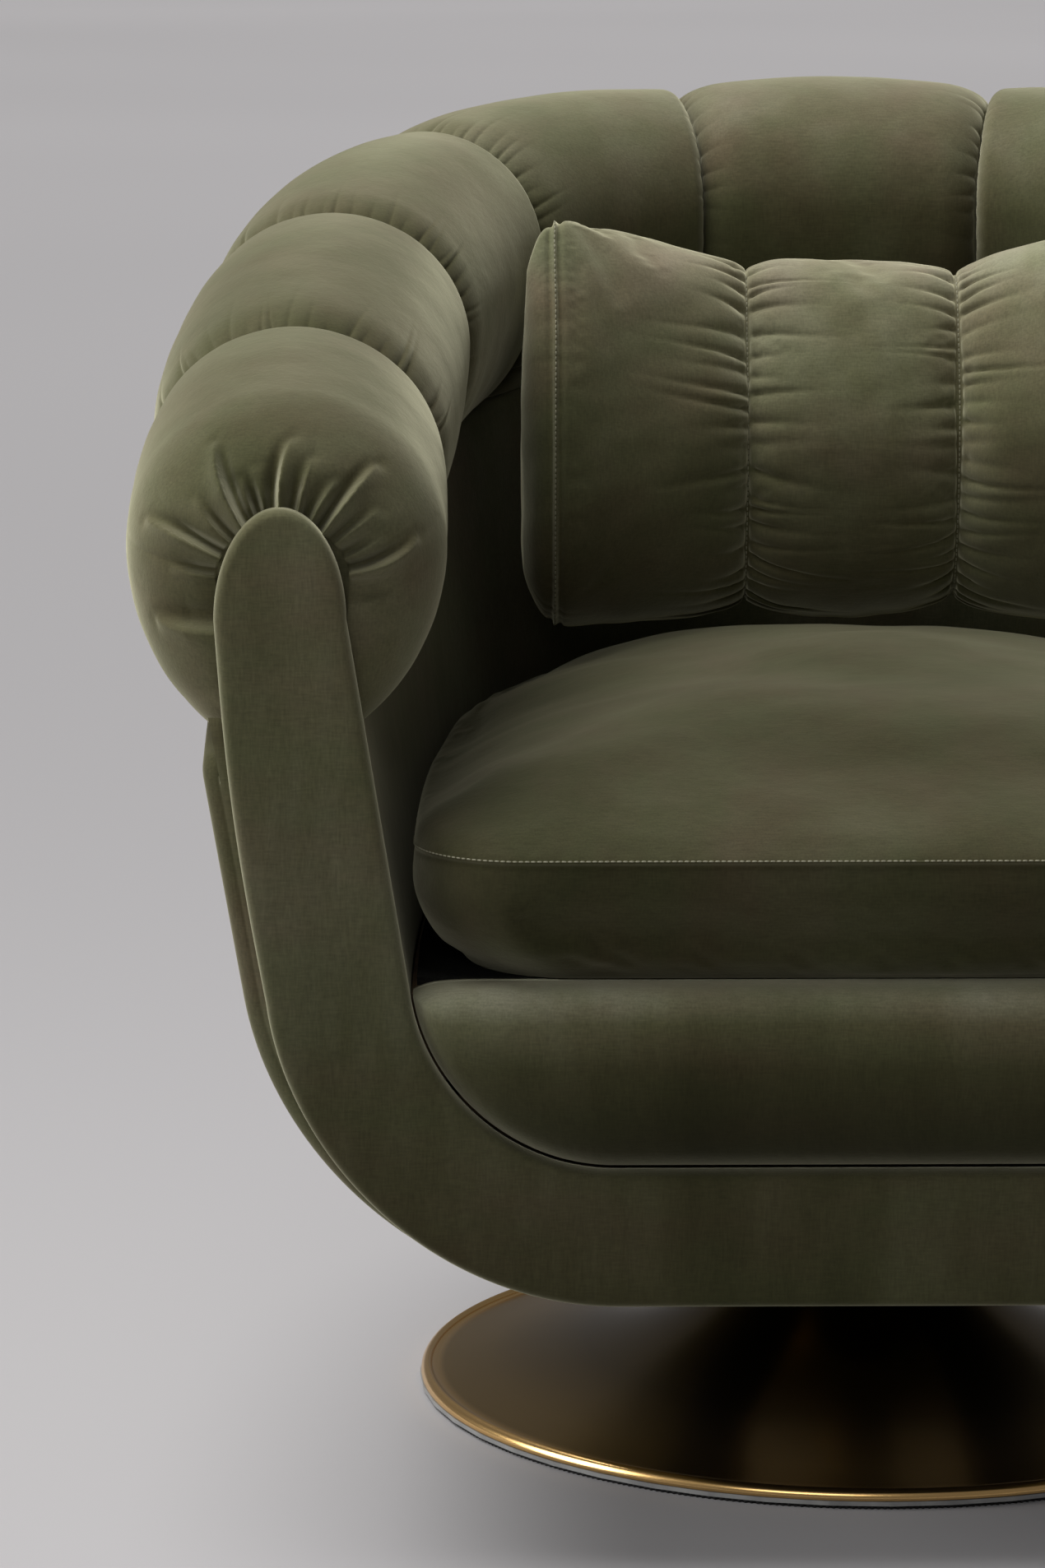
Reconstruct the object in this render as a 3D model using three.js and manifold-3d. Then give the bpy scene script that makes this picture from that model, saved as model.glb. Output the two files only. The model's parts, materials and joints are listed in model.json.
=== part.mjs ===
// A channelled velvet tub chair that swivels on a trumpet-shaped brass foot.
// Millimetres, +Z up, the front faces -Y. The origin is on the floor, on the swivel axis.

import * as THREE from 'three';
import { mergeVertices } from 'three/addons/utils/BufferGeometryUtils.js';
import Module from 'manifold-3d';

// Overall size
const overallWidth = 884;
const overallDepth = 830;
const overallHeight = 818;

// Fits
const seatGap = 0.3;        // between pieces that rest on each other
const runningGap = 0.6;     // between pieces that turn past each other
const seamGap = 0.6;        // between two neighbouring roll channels
const panelGap = 1.8;       // between a curved cover and the frame behind it
const stuffingGap = 3;      // between the roll's slot and the rail it wraps

// Plan of the rim, from an arm's front to the middle of the back
const rimArmHandleShare = 0.83;
const rimBackHandleShare = 0.74;

// Padded roll over the arms and back, sewn into channels
const rollHalfWidth = 90;
const rollCrownHeight = 85;
const rollSkirtHeight = 98;
const rollSkirtHalfWidth = 41;
const armCrestHeight = 657;
const frontChannelShare = 0.835;
const seamDepth = 14;
const noseRadius = 58;
const noseInset = 46;
const coreHalfWidth = 31;
const seamPowerShare = 2.4;
const channelsPerSide = 4;
const channelSteps = 8;
const noseSteps = 4;
const crownPoints = 10;
const skirtPoints = 3;

// Front facing, a padded band that frames the arm fronts and the seat
const facingSetback = 4;
const facingThickness = 15;
const facingBevel = 5;
const facingArchHeight = 62;
const facingSpringHeight = 551;
const facingSpringOut = 38;
const facingSpringIn = 35;
const facingKneeOut = 11;
const facingKneeIn = 70;
const facingBow = 4;
const kneeDrop = 9;
const underSweepShare = 0.265625;
const bandSweepLess = 3;
const facingBandHeight = 79;
const archPoints = 8;

// Outer shell, inner lining and underside cloth of the tub
const undersideHeight = 160;
const shellThickness = 11;
const shellTopOut = 48;
const shellKneeOut = 24;
const liningThickness = 15;
const liningTopIn = 42;
const liningBottomIn = 70;
const liningBearing = 10;
const clothThickness = 1.2;
const clothHoleGap = 2;
const cornerHandleShare = 0.52;
const cornerPoints = 8;
const rimSteps = 15;

// Frame
const plyThickness = 18;
const rimRailWidth = 36;
const rimRailHeight = 40;
const rimRailDepth = 101;
const seatRailWidth = 36;
const seatRailHeight = 50;
const frontRailWidth = 34;
const frontRailHeight = 98;
const formerLap = 3;
const ribFootLength = 52;
const ribFootHeight = 46;
const ribStationShares = [0.14, 0.6];

// Seat deck on webbing
const deckHeight = 345;
const deckThickness = 5;
const webbingWidth = 58;
const webbingThickness = 2;
const webbingBearing = 22;
const longWebbingPitchShare = 0.1676;
const crossWebbingPitchShare = 0.208;
const longWebbingCount = 4;
const crossWebbingCount = 3;

// Padded border below the seat cushion
const borderBevel = 12;
const borderSteps = 4;
const borderTopDrop = 1;
const borderSideGap = 1;
const borderSetback = 2;
const borderCornerRadius = 16;

// Loose seat cushion
const cushionSideGap = 1.5;
const cushionCornerRadius = 62;
const cushionSeamRise = 72;
const cushionCrown = 76;
const cushionTuck = 34;
const cushionSeamDraw = 5;
const cushionCornerPoints = 5;
const cushionFrontPoints = 7;
const cushionFirstStation = 2;
const cushionSideShares = [[1, 0], [0.45, 0.1], [0.12, 0.34], [0, 0.66]];
const cushionCrownShares = [
  [0.985, 0.3],
  [0.95, 0.46],
  [0.88, 0.6],
  [0.76, 0.74],
  [0.6, 0.87],
  [0.4, 0.95],
  [0.18, 0.99],
];

// Loose lumbar pillow
const pillowHalfWidth = 213;
const pillowSeamOffset = 68;
const pillowHeight = 234;
const pillowSink = 20;
const pillowEar = 38;
const pillowThickness = 142;
const pillowEndThickness = 88;
const pillowBow = 74;
const pillowSeamDraw = 17;
const pillowBackGap = 9;
const pillowEndRound = 34;
const pillowRingPoints = 22;
const pillowPowerShare = 2.7;
const pillowMiddleShares = [0, 0.35, 0.7, 0.92, 1];
const pillowOuterShares = [0.05, 0.2, 0.5, 0.8];
const pillowEndShares = [0, 0.35, 0.65, 0.88, 1];
const pillowSeamReachShare = 0.32;
const pillowEndCloseShare = 0.94;

// Brass foot
const footRadius = 280;
const footSheet = 1.6;
const footBeadRadius = 3.4;
const footNeckRadius = 33;
const footNeckHeight = 138;
const footLeanShare = 0.28;
const footFlarePowerShare = 4.5;
const footSkinPoints = 9;
const beadPoints = 6;
const floorRingHeight = 2.2;
const floorRingWidth = 16;
const floorRingInset = 1.6;
const edgeRingHeight = 2.6;
const edgeRingWidth = 24;
const edgeRingOverhang = 0.8;
const ballastRadius = 222;
const ballastThickness = 8;

// Swivel between the foot and the tub
const columnRadius = 25;
const columnBore = 17;
const columnPlugHeight = 30;
const columnBoltDepth = 24;
const spindleRadius = 12;
const spindleLength = 66;
const spindleFlangeRadius = 30;
const spindleFlangeThickness = 2.4;
const bushLength = 36;
const raceRadius = 30;
const raceThickness = 3.4;
const ballRadius = 2.6;
const ballCount = 10;
const ballCircleRadius = 22;
const ballSides = 6;
const cageThickness = 2;
const cageHalfWidth = 3.4;
const clipThickness = 1.8;
const clipRadius = 15.4;
const clipGrooveDepth = 1.6;
const clipGap = 3;
const clipMouthAngleShare = 0.14;
const plateSize = 160;
const plateThickness = 5;
const plateCorner = 22;
const plateBoltInset = 24;
const plateBoltRadius = 4;
const plateBoltHeadRadius = 7.5;
const plateBoltHead = 4.2;
const plateNutHeight = 6.4;
const boltThreadOut = 3;
const boltHoleGap = 0.4;
const hexSides = 6;
const baseBoltRadius = 8;
const baseBoltHeadRadius = 13;
const baseBoltHead = 3.2;
const baseBoltTipGap = 2;
const baseWasherRadius = 19;
const baseWasherThickness = 1.6;
const roundSides = 24;
const footSides = 48;

// Places that follow from the sizes
const rimRadius = overallWidth / 2 - rollHalfWidth;
const rimBackY = overallDepth / 2 - rollHalfWidth;
const cushionFrontY = -overallDepth / 2;
const facingFrontY = cushionFrontY + facingSetback;
const facingBackY = facingFrontY + facingThickness;
const bodyFrontY = facingBackY + seatGap;
const formerBackY = bodyFrontY + plyThickness;
const frontRailY = formerBackY + seatGap;
const borderFrontY = cushionFrontY + borderSetback;
const wallDepth = rollCrownHeight + rollSkirtHeight + seatGap;
const crossWebbingTop = deckHeight - deckThickness - seatGap;
const longWebbingTop = crossWebbingTop - webbingThickness - seatGap;
const seatRailTop = longWebbingTop - webbingThickness - seatGap;
const seatRailOut = -(liningBottomIn - liningBearing);
const seatRailIn = seatRailOut - seatRailWidth;
const liningBottom = seatRailTop + seatGap;
const rimDepth = rimBackY - bodyFrontY;
const underSweep = underSweepShare * Math.min(2 * rimRadius, rimDepth);
const floorOut = -underSweep;
const kneeHeight = deckHeight - kneeDrop;
const boardBottom = undersideHeight + clothThickness + seatGap;
const boardTop = boardBottom + plyThickness;
const plateTop = boardBottom - seatGap;
const plateBottom = plateTop - plateThickness;
const flangeBottom = plateBottom - seatGap - spindleFlangeThickness;
const upperRaceBottom = flangeBottom - seatGap - raceThickness;
const ballCentre = upperRaceBottom - seatGap - ballRadius;
const lowerRaceBottom = ballCentre - ballRadius - seatGap - raceThickness;
const columnTop = lowerRaceBottom - seatGap;
const edgeRingBottom = floorRingHeight + seatGap;
const footBottom = edgeRingBottom + edgeRingHeight + seatGap;

const wasm = await Module();
wasm.setup();

const finish = (color, roughness, metalness) => (
  new THREE.MeshStandardMaterial({ color, roughness, metalness }));
const steel = finish(0x8b8d8f, 0.4, 1);
const brass = finish(0xb08a55, 0.3, 1);
const timber = finish(0xc19a66, 0.7, 0);
const velvet = finish(0x57543a, 0.9, 0);
const blackCloth = finish(0x1b1b1a, 0.95, 0);
const wovenWeb = finish(0x3a3a3c, 0.9, 0);
const rubber = finish(0x151515, 0.8, 0);
const clearPlastic = finish(0xb4b4b2, 0.35, 0);
const nylon = finish(0xe6e2d6, 0.5, 0);

const chair = new THREE.Group();
const foot = new THREE.Group();
const tub = new THREE.Group();
chair.add(foot, tub);

function addPiece(group, name, geometry, material) {
  const mesh = new THREE.Mesh(geometry, material.clone());
  mesh.name = name;
  group.add(mesh);
  return mesh;
}

// Closed skins

function signedArea(outline) {
  return THREE.ShapeUtils.area(outline.map(([x, y]) => new THREE.Vector2(x, y)));
}

function capFaces(outline) {
  const contour = outline.map(([x, y]) => new THREE.Vector2(x, y));
  const turn = Math.sign(signedArea(outline));
  return THREE.ShapeUtils.triangulateShape(contour, []).map((face) => {
    const corners = face.map((index) => outline[index]);
    return Math.sign(signedArea(corners)) === turn ? face : [face[0], face[2], face[1]];
  });
}

// Faces are turned over as one where they would point inwards
function closedGeometry(positions, faces) {
  const corner = (index) => new THREE.Vector3().fromArray(positions, 3 * index);
  let volume = 0;
  for (const [a, b, c] of faces) {
    volume += corner(a).dot(corner(b).cross(corner(c)));
  }
  const turned = volume > 0 ? faces : faces.map(([a, b, c]) => [a, c, b]);
  const geometry = new THREE.BufferGeometry();
  geometry.setAttribute('position', new THREE.Float32BufferAttribute(positions, 3));
  geometry.setIndex(turned.flat());
  geometry.computeVertexNormals();
  return geometry;
}

// A skin over rings of equal length, capped at both ends. Each ring is a list
// of points, and an outline is the end ring drawn in the plane of its cap.
function skinOverRings(rings, firstOutline, lastOutline) {
  const count = rings[0].length;
  const positions = rings.flat().flatMap((point) => [point.x, point.y, point.z]);
  const faces = [];
  for (let ring = 0; ring < rings.length - 1; ring += 1) {
    for (let index = 0; index < count; index += 1) {
      const next = (index + 1) % count;
      const near = ring * count;
      const far = near + count;
      faces.push([near + index, near + next, far + next]);
      faces.push([near + index, far + next, far + index]);
    }
  }
  for (const [a, b, c] of capFaces(firstOutline)) {
    faces.push([a, c, b]);
  }
  const last = (rings.length - 1) * count;
  for (const [a, b, c] of capFaces(lastOutline)) {
    faces.push([last + a, last + b, last + c]);
  }
  return closedGeometry(positions, faces);
}

function mergedOf(geometry) {
  const bare = geometry.clone();
  bare.deleteAttribute('normal');
  bare.deleteAttribute('uv');
  return mergeVertices(bare);
}

function toSolid(geometry) {
  const merged = mergedOf(geometry);
  return new wasm.Manifold(new wasm.Mesh({
    numProp: 3,
    vertProperties: new Float32Array(merged.attributes.position.array),
    triVerts: new Uint32Array(merged.index.array),
  }));
}

function toGeometry(solid) {
  const mesh = solid.getMesh();
  const geometry = new THREE.BufferGeometry();
  geometry.setAttribute('position', new THREE.BufferAttribute(new Float32Array(mesh.vertProperties), 3));
  geometry.setIndex(new THREE.BufferAttribute(new Uint32Array(mesh.triVerts), 1));
  geometry.computeVertexNormals();
  return geometry;
}

// Turned pieces. A profile is a list of [radius, height] that starts and ends
// on the axis or closes on itself.
function turned(profile, sides = roundSides) {
  const points = profile.map(([radius, height]) => new THREE.Vector2(radius, height));
  const geometry = new THREE.LatheGeometry(points, sides);
  geometry.rotateX(Math.PI / 2);
  const merged = mergedOf(geometry);
  const index = merged.index.array;
  const faces = [];
  for (let start = 0; start < index.length; start += 3) {
    const face = [index[start], index[start + 1], index[start + 2]];
    if (new Set(face).size === face.length) {
      faces.push(face);
    }
  }
  return closedGeometry(Array.from(merged.attributes.position.array), faces);
}

function turnedRing(inner, outer, bottom, top, sides = roundSides) {
  return turned([[inner, bottom], [outer, bottom], [outer, top], [inner, top], [inner, bottom]], sides);
}

function hexBolt(headRadius, headHeight, shankRadius, shankLength) {
  const head = new THREE.CylinderGeometry(headRadius, headRadius, headHeight, hexSides);
  head.rotateX(Math.PI / 2);
  head.translate(0, 0, headHeight / 2);
  const length = headHeight / 2 + shankLength;
  const shank = new THREE.CylinderGeometry(shankRadius, shankRadius, length, roundSides / 2);
  shank.rotateX(Math.PI / 2);
  shank.translate(0, 0, headHeight / 2 + length / 2);
  return toGeometry(toSolid(head).add(toSolid(shank)));
}

// The rim's plan: the left arm from front to back, round the back, and the
// right arm forwards again. u is the distance outwards from that line.

const rimCurve = new THREE.CubicBezierCurve(
  new THREE.Vector2(-rimRadius, bodyFrontY),
  new THREE.Vector2(-rimRadius, bodyFrontY + rimArmHandleShare * rimDepth),
  new THREE.Vector2(-rimBackHandleShare * rimRadius, rimBackY),
  new THREE.Vector2(0, rimBackY),
);
rimCurve.arcLengthDivisions = rimSteps * 16;
const halfPath = rimCurve.getLength();

function rimPoint(distance) {
  const side = distance > halfPath ? -1 : 1;
  const fromFront = side > 0 ? distance : 2 * halfPath - distance;
  const share = THREE.MathUtils.clamp(fromFront / halfPath, 0, 1);
  const point = rimCurve.getPointAt(share);
  const along = rimCurve.getTangentAt(share);
  return { x: side * point.x, y: point.y, out: new THREE.Vector2(-side * along.y, along.x) };
}

// Where the line at u outwards crosses a value of x or y, on the left half
function rimCrossing(u, axis, value) {
  let low = 0;
  let high = halfPath;
  for (let pass = 0; pass < 40; pass += 1) {
    const middle = (low + high) / 2;
    if (placeOnRim(middle, u, 0)[axis] < value) {
      low = middle;
    } else {
      high = middle;
    }
  }
  return placeOnRim(low, u, 0);
}

function placeOnRim(distance, u, z) {
  const { x, y, out } = rimPoint(distance);
  return new THREE.Vector3(x + out.x * u, y + out.y * u, z);
}

function crestHeight(distance) {
  const fromFront = Math.min(distance, 2 * halfPath - distance) / halfPath;
  return armCrestHeight + (overallHeight - armCrestHeight) * Math.sin(fromFront * Math.PI / 2);
}

const wallTop = (distance) => crestHeight(distance) - wallDepth;

// Stations lie closer together where the rim turns
function rimStations() {
  const lengths = rimCurve.getLengths();
  const left = Array.from({ length: rimSteps }, (_, step) => (
    lengths[step * rimCurve.arcLengthDivisions / rimSteps]));
  const right = left.map((distance) => 2 * halfPath - distance).reverse();
  return [...left, halfPath, ...right];
}

function sweptRoundRim(profileAt, stations = rimStations()) {
  const profiles = stations.map(profileAt);
  const rings = profiles.map((profile, index) => (
    profile.map(([u, z]) => placeOnRim(stations[index], u, z))));
  return skinOverRings(rings, profiles[0], profiles[profiles.length - 1]);
}

// The tub's line in a plane square to the rim, from the top down: a side that
// leans in to its knee, and a corner that sweeps under to the flat floor.
function tubLine({ topOut, topHeight, kneeOut, endOut, endHeight }) {
  const lean = (topOut - kneeOut) / (topHeight - kneeHeight);
  const drop = cornerHandleShare * (kneeHeight - endHeight);
  const reach = cornerHandleShare * (kneeOut - endOut);
  const corner = new THREE.CubicBezierCurve(
    new THREE.Vector2(kneeOut, kneeHeight),
    new THREE.Vector2(kneeOut - lean * drop, kneeHeight - drop),
    new THREE.Vector2(endOut + reach, endHeight),
    new THREE.Vector2(endOut, endHeight),
  );
  return [[topOut, topHeight], ...corner.getPoints(cornerPoints).map(({ x, y }) => [x, y])];
}

const shellLine = (topHeight, inset) => tubLine({
  topOut: shellTopOut - inset,
  topHeight,
  kneeOut: shellKneeOut - inset,
  endOut: floorOut,
  endHeight: undersideHeight + inset,
});

const facingInnerLine = (inset) => tubLine({
  topOut: -facingSpringIn - inset,
  topHeight: facingSpringHeight,
  kneeOut: -facingKneeIn - inset,
  endOut: floorOut + bandSweepLess,
  endHeight: undersideHeight + facingBandHeight + inset,
});

// The line with a point more, where its leaning side bows out halfway
const bowedOut = ([top, knee, ...rest], bow) => [
  top,
  [(top[0] + knee[0]) / 2 + bow, (top[1] + knee[1]) / 2],
  knee,
  ...rest,
];

const onLeftArm = (line) => line.map(([u, z]) => [-(rimRadius + u), z]);

// An outline from its left half, listed from end to end
const mirrored = (half) => [...half, ...half.map(([x, z]) => [-x, z]).reverse()];

// A shape drawn in x and z, given its thickness along y from backY forwards
function standingPlate(outline, options, backY) {
  const shape = new THREE.Shape(outline.map(([x, z]) => new THREE.Vector2(x, z)));
  const geometry = new THREE.ExtrudeGeometry(shape, options);
  geometry.rotateX(Math.PI / 2);
  geometry.translate(0, backY, 0);
  return geometry;
}

// A flat plate whose edge follows the rim at u, cut straight at its front
function plateInRim(u, frontY, bottom, thickness, holes = []) {
  const left = rimStations()
    .filter((distance) => distance < halfPath)
    .map((distance) => placeOnRim(distance, u, 0))
    .filter((point) => point.y > frontY)
    .map((point) => [point.x, point.y]);
  const back = placeOnRim(halfPath, u, 0).y;
  const half = [[rimCrossing(u, 'y', frontY).x, frontY], ...left];
  const farHalf = half.map(([x, y]) => [-x, y]).reverse();
  const outline = [...half, [0, back], ...farHalf].reverse();
  const shape = new THREE.Shape(outline.map(([x, y]) => new THREE.Vector2(x, y)));
  shape.holes.push(...holes);
  const geometry = new THREE.ExtrudeGeometry(shape, {
    depth: thickness,
    bevelEnabled: false,
    curveSegments: roundSides / 4,
  });
  geometry.translate(0, 0, bottom);
  return geometry;
}

function roundHole(x, y, radius) {
  const hole = new THREE.Path();
  hole.absarc(x, y, radius, 0, 2 * Math.PI, true);
  return hole;
}

function roundedSquare(path, half, radius) {
  path.moveTo(-half + radius, -half);
  path.lineTo(half - radius, -half);
  path.absarc(half - radius, -half + radius, radius, -Math.PI / 2, 0, false);
  path.absarc(half - radius, half - radius, radius, 0, Math.PI / 2, false);
  path.absarc(-half + radius, half - radius, radius, Math.PI / 2, Math.PI, false);
  path.absarc(-half + radius, -half + radius, radius, Math.PI, 1.5 * Math.PI, false);
  return path;
}

const boltOffset = plateSize / 2 - plateBoltInset;
const boltPlaces = [[-1, -1], [1, -1], [1, 1], [-1, 1]].map(([x, y]) => [x * boltOffset, y * boltOffset]);
const boltHoles = () => boltPlaces.map(([x, y]) => roundHole(x, y, plateBoltRadius + boltHoleGap));

// Brass foot: a skin that flares from the neck to a rolled bead

const beadRadiusFromAxis = footRadius - footBeadRadius;
const beadHeight = footBottom + footBeadRadius;
const skinEdgeRadius = beadRadiusFromAxis - footBeadRadius;

function footSkinHeight(radius) {
  const share = (skinEdgeRadius - radius) / (skinEdgeRadius - footNeckRadius);
  const rise = footLeanShare * share + (1 - footLeanShare) * share ** footFlarePowerShare;
  return beadHeight + (footNeckHeight - beadHeight) * rise;
}

function footProfile() {
  const skin = Array.from({ length: footSkinPoints }, (_, step) => {
    const share = Math.sin(step / (footSkinPoints - 1) * Math.PI / 2);
    const radius = skinEdgeRadius - (skinEdgeRadius - footNeckRadius) * share;
    return [radius, footSkinHeight(radius)];
  });
  const inside = skin.map(([radius, height]) => [radius - footSheet, height - footSheet / 2]);
  const bead = Array.from({ length: beadPoints }, (_, step) => {
    const angle = Math.PI - (step + 1) * 2 * Math.PI / (beadPoints + 1);
    return [
      beadRadiusFromAxis + footBeadRadius * Math.cos(angle),
      beadHeight + footBeadRadius * Math.sin(angle),
    ];
  });
  return [...skin.reverse(), ...bead, ...inside, skin[0]];
}

addPiece(foot, 'foot_disc', turned(footProfile(), footSides), brass);

addPiece(foot, 'floor_ring', turnedRing(
  footRadius - floorRingInset - floorRingWidth,
  footRadius - floorRingInset,
  0,
  floorRingHeight,
  footSides,
), rubber);

const edgeRingOuter = footRadius + edgeRingOverhang;
addPiece(foot, 'edge_ring', turnedRing(
  edgeRingOuter - edgeRingWidth,
  edgeRingOuter,
  edgeRingBottom,
  edgeRingBottom + edgeRingHeight,
  footSides,
), clearPlastic);

const ballastTop = footSkinHeight(ballastRadius) - footSheet - seatGap;
const ballastBottom = ballastTop - ballastThickness;
const baseHoleRadius = baseBoltRadius + boltHoleGap;
addPiece(foot, 'ballast_plate', turnedRing(
  baseHoleRadius,
  ballastRadius,
  ballastBottom,
  ballastTop,
  footSides,
), steel);

const washerBottom = ballastBottom - seatGap - baseWasherThickness;
addPiece(foot, 'base_washer', turnedRing(
  baseHoleRadius,
  baseWasherRadius,
  washerBottom,
  washerBottom + baseWasherThickness,
), steel);

const columnBottom = ballastTop + seatGap;
const boltHoleTop = columnBottom + columnBoltDepth;
const plugTop = columnBottom + columnPlugHeight;
addPiece(foot, 'column', turned([
  [0, boltHoleTop],
  [baseHoleRadius, boltHoleTop],
  [baseHoleRadius, columnBottom],
  [columnRadius, columnBottom],
  [columnRadius, columnTop],
  [columnBore, columnTop],
  [columnBore, plugTop],
  [0, plugTop],
]), steel);

const baseBoltBottom = washerBottom - seatGap - baseBoltHead;
const baseBoltShank = boltHoleTop - baseBoltTipGap - baseBoltBottom - baseBoltHead;
const baseBolt = hexBolt(baseBoltHeadRadius, baseBoltHead, baseBoltRadius, baseBoltShank);
addPiece(foot, 'base_bolt', baseBolt, steel).position.z = baseBoltBottom;

addPiece(foot, 'spindle_bush', turnedRing(
  spindleRadius + runningGap,
  columnBore - seatGap,
  columnTop - bushLength,
  columnTop,
), nylon);

addPiece(foot, 'lower_race', turnedRing(
  spindleRadius + runningGap,
  raceRadius,
  lowerRaceBottom,
  lowerRaceBottom + raceThickness,
), steel);

// Balls held in one cage, which rests on the lower race
function ballCage() {
  let cage = toSolid(turnedRing(
    ballCircleRadius - cageHalfWidth,
    ballCircleRadius + cageHalfWidth,
    ballCentre - cageThickness / 2,
    ballCentre + cageThickness / 2,
  ));
  for (let count = 0; count < ballCount; count += 1) {
    const angle = count / ballCount * 2 * Math.PI;
    const ball = new THREE.SphereGeometry(ballRadius, ballSides, ballSides / 2 + 1);
    ball.rotateX(Math.PI / 2);
    ball.translate(ballCircleRadius * Math.cos(angle), ballCircleRadius * Math.sin(angle), ballCentre);
    cage = cage.add(toSolid(ball));
  }
  return toGeometry(cage);
}

addPiece(foot, 'ball_cage', ballCage(), steel);

// Turning half of the swivel

addPiece(tub, 'upper_race', turnedRing(
  spindleRadius + seatGap,
  raceRadius,
  upperRaceBottom,
  upperRaceBottom + raceThickness,
), steel);

const spindleBottom = flangeBottom - spindleLength;
const clipTop = columnTop - bushLength - clipGap;
const grooveRadius = spindleRadius - clipGrooveDepth;
addPiece(tub, 'spindle', turned([
  [0, spindleBottom],
  [spindleRadius, spindleBottom],
  [spindleRadius, clipTop - clipThickness - seatGap],
  [grooveRadius, clipTop - clipThickness - seatGap],
  [grooveRadius, clipTop + seatGap],
  [spindleRadius, clipTop + seatGap],
  [spindleRadius, flangeBottom],
  [spindleFlangeRadius, flangeBottom],
  [spindleFlangeRadius, flangeBottom + spindleFlangeThickness],
  [0, flangeBottom + spindleFlangeThickness],
]), steel);

// Open spring ring in the spindle's groove
function spindleClip() {
  const mouth = clipMouthAngleShare * 2 * Math.PI;
  const shape = new THREE.Shape();
  shape.absarc(0, 0, clipRadius, mouth / 2, 2 * Math.PI - mouth / 2, false);
  shape.absarc(0, 0, grooveRadius + seatGap, 2 * Math.PI - mouth / 2, mouth / 2, true);
  const geometry = new THREE.ExtrudeGeometry(shape, {
    depth: clipThickness,
    bevelEnabled: false,
    curveSegments: roundSides / 2,
  });
  geometry.translate(0, 0, clipTop - clipThickness);
  return geometry;
}

addPiece(tub, 'spindle_clip', spindleClip(), steel);

function swivelPlate() {
  const shape = roundedSquare(new THREE.Shape(), plateSize / 2, plateCorner);
  shape.holes.push(...boltHoles());
  const geometry = new THREE.ExtrudeGeometry(shape, {
    depth: plateThickness,
    bevelEnabled: false,
    curveSegments: roundSides / 4,
  });
  geometry.translate(0, 0, plateBottom);
  return geometry;
}

addPiece(tub, 'swivel_plate', swivelPlate(), steel);

const nutBottom = boardTop + seatGap;
const plateBoltBottom = plateBottom - seatGap - plateBoltHead;
const plateBoltShank = nutBottom + plateNutHeight + boltThreadOut - plateBoltBottom - plateBoltHead;
const plateBolt = hexBolt(plateBoltHeadRadius, plateBoltHead, plateBoltRadius, plateBoltShank);

function plateNut() {
  const shape = new THREE.Shape(Array.from({ length: hexSides }, (_, side) => {
    const angle = side / hexSides * 2 * Math.PI;
    return new THREE.Vector2(Math.cos(angle), Math.sin(angle)).multiplyScalar(plateBoltHeadRadius);
  }));
  shape.holes.push(roundHole(0, 0, plateBoltRadius + seatGap));
  return new THREE.ExtrudeGeometry(shape, {
    depth: plateNutHeight,
    bevelEnabled: false,
    curveSegments: roundSides / 4,
  });
}

boltPlaces.forEach(([x, y], index) => {
  addPiece(tub, `plate_bolt_${index + 1}`, plateBolt.clone(), steel).position.set(x, y, plateBoltBottom);
  addPiece(tub, `plate_nut_${index + 1}`, plateNut(), steel).position.set(x, y, nutBottom);
});

// Timber frame

const floorEdge = floorOut - seatGap;
addPiece(tub, 'seat_board', plateInRim(
  floorEdge,
  formerBackY + seatGap,
  boardBottom,
  plyThickness,
  boltHoles(),
), timber);

const clothHole = roundedSquare(new THREE.Path(), plateSize / 2 + clothHoleGap, plateCorner);
addPiece(tub, 'dust_cloth', plateInRim(
  floorEdge,
  bodyFrontY,
  undersideHeight,
  clothThickness,
  [clothHole],
), blackCloth);

// Side of the wall that faces the lining, from the lining's top to its bottom
const liningBackTop = liningThickness - liningTopIn;
const liningBackBottom = liningThickness - liningBottomIn;
const tongueHalfWidth = rimRailWidth / 2;
const tongueTop = (distance) => crestHeight(distance) - rimRailDepth - rimRailHeight - seatGap;

// Ply former behind the facing. Its arms narrow to tongues inside the roll.
function frontFormer() {
  const outer = onLeftArm(shellLine(wallTop(0), shellThickness + panelGap)).reverse();
  const tongue = onLeftArm([
    [tongueHalfWidth, wallTop(0)],
    [tongueHalfWidth, tongueTop(0)],
    [-tongueHalfWidth, tongueTop(0)],
    [-tongueHalfWidth, wallTop(0)],
    [liningBackTop + seatGap, wallTop(0)],
    [liningBackBottom + seatGap, liningBottom - seatGap],
  ]);
  const inner = onLeftArm(facingInnerLine(-formerLap)).slice(1);
  const lowerInner = inner.filter(([, z]) => z < liningBottom - seatGap);
  const outline = mirrored([...outer, ...tongue, ...lowerInner]);
  return standingPlate(outline, { depth: plyThickness, bevelEnabled: false }, formerBackY);
}

addPiece(tub, 'front_former', frontFormer(), timber);

addPiece(tub, 'rim_rail', sweptRoundRim((distance) => {
  const top = crestHeight(distance) - rimRailDepth;
  return [
    [tongueHalfWidth, top],
    [-tongueHalfWidth, top],
    [-tongueHalfWidth, top - rimRailHeight],
    [tongueHalfWidth, top - rimRailHeight],
  ];
}), timber);

// The seat rail starts behind the front former
const seatRailStart = plyThickness + runningGap;
const seatRailStations = () => [
  seatRailStart,
  ...rimStations().filter((distance) => (
    distance > seatRailStart && distance < 2 * halfPath - seatRailStart)),
  2 * halfPath - seatRailStart,
];

addPiece(tub, 'seat_rail', sweptRoundRim(() => [
  [seatRailOut, seatRailTop],
  [seatRailIn, seatRailTop],
  [seatRailIn, seatRailTop - seatRailHeight],
  [seatRailOut, seatRailTop - seatRailHeight],
], seatRailStations()), timber);

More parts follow.
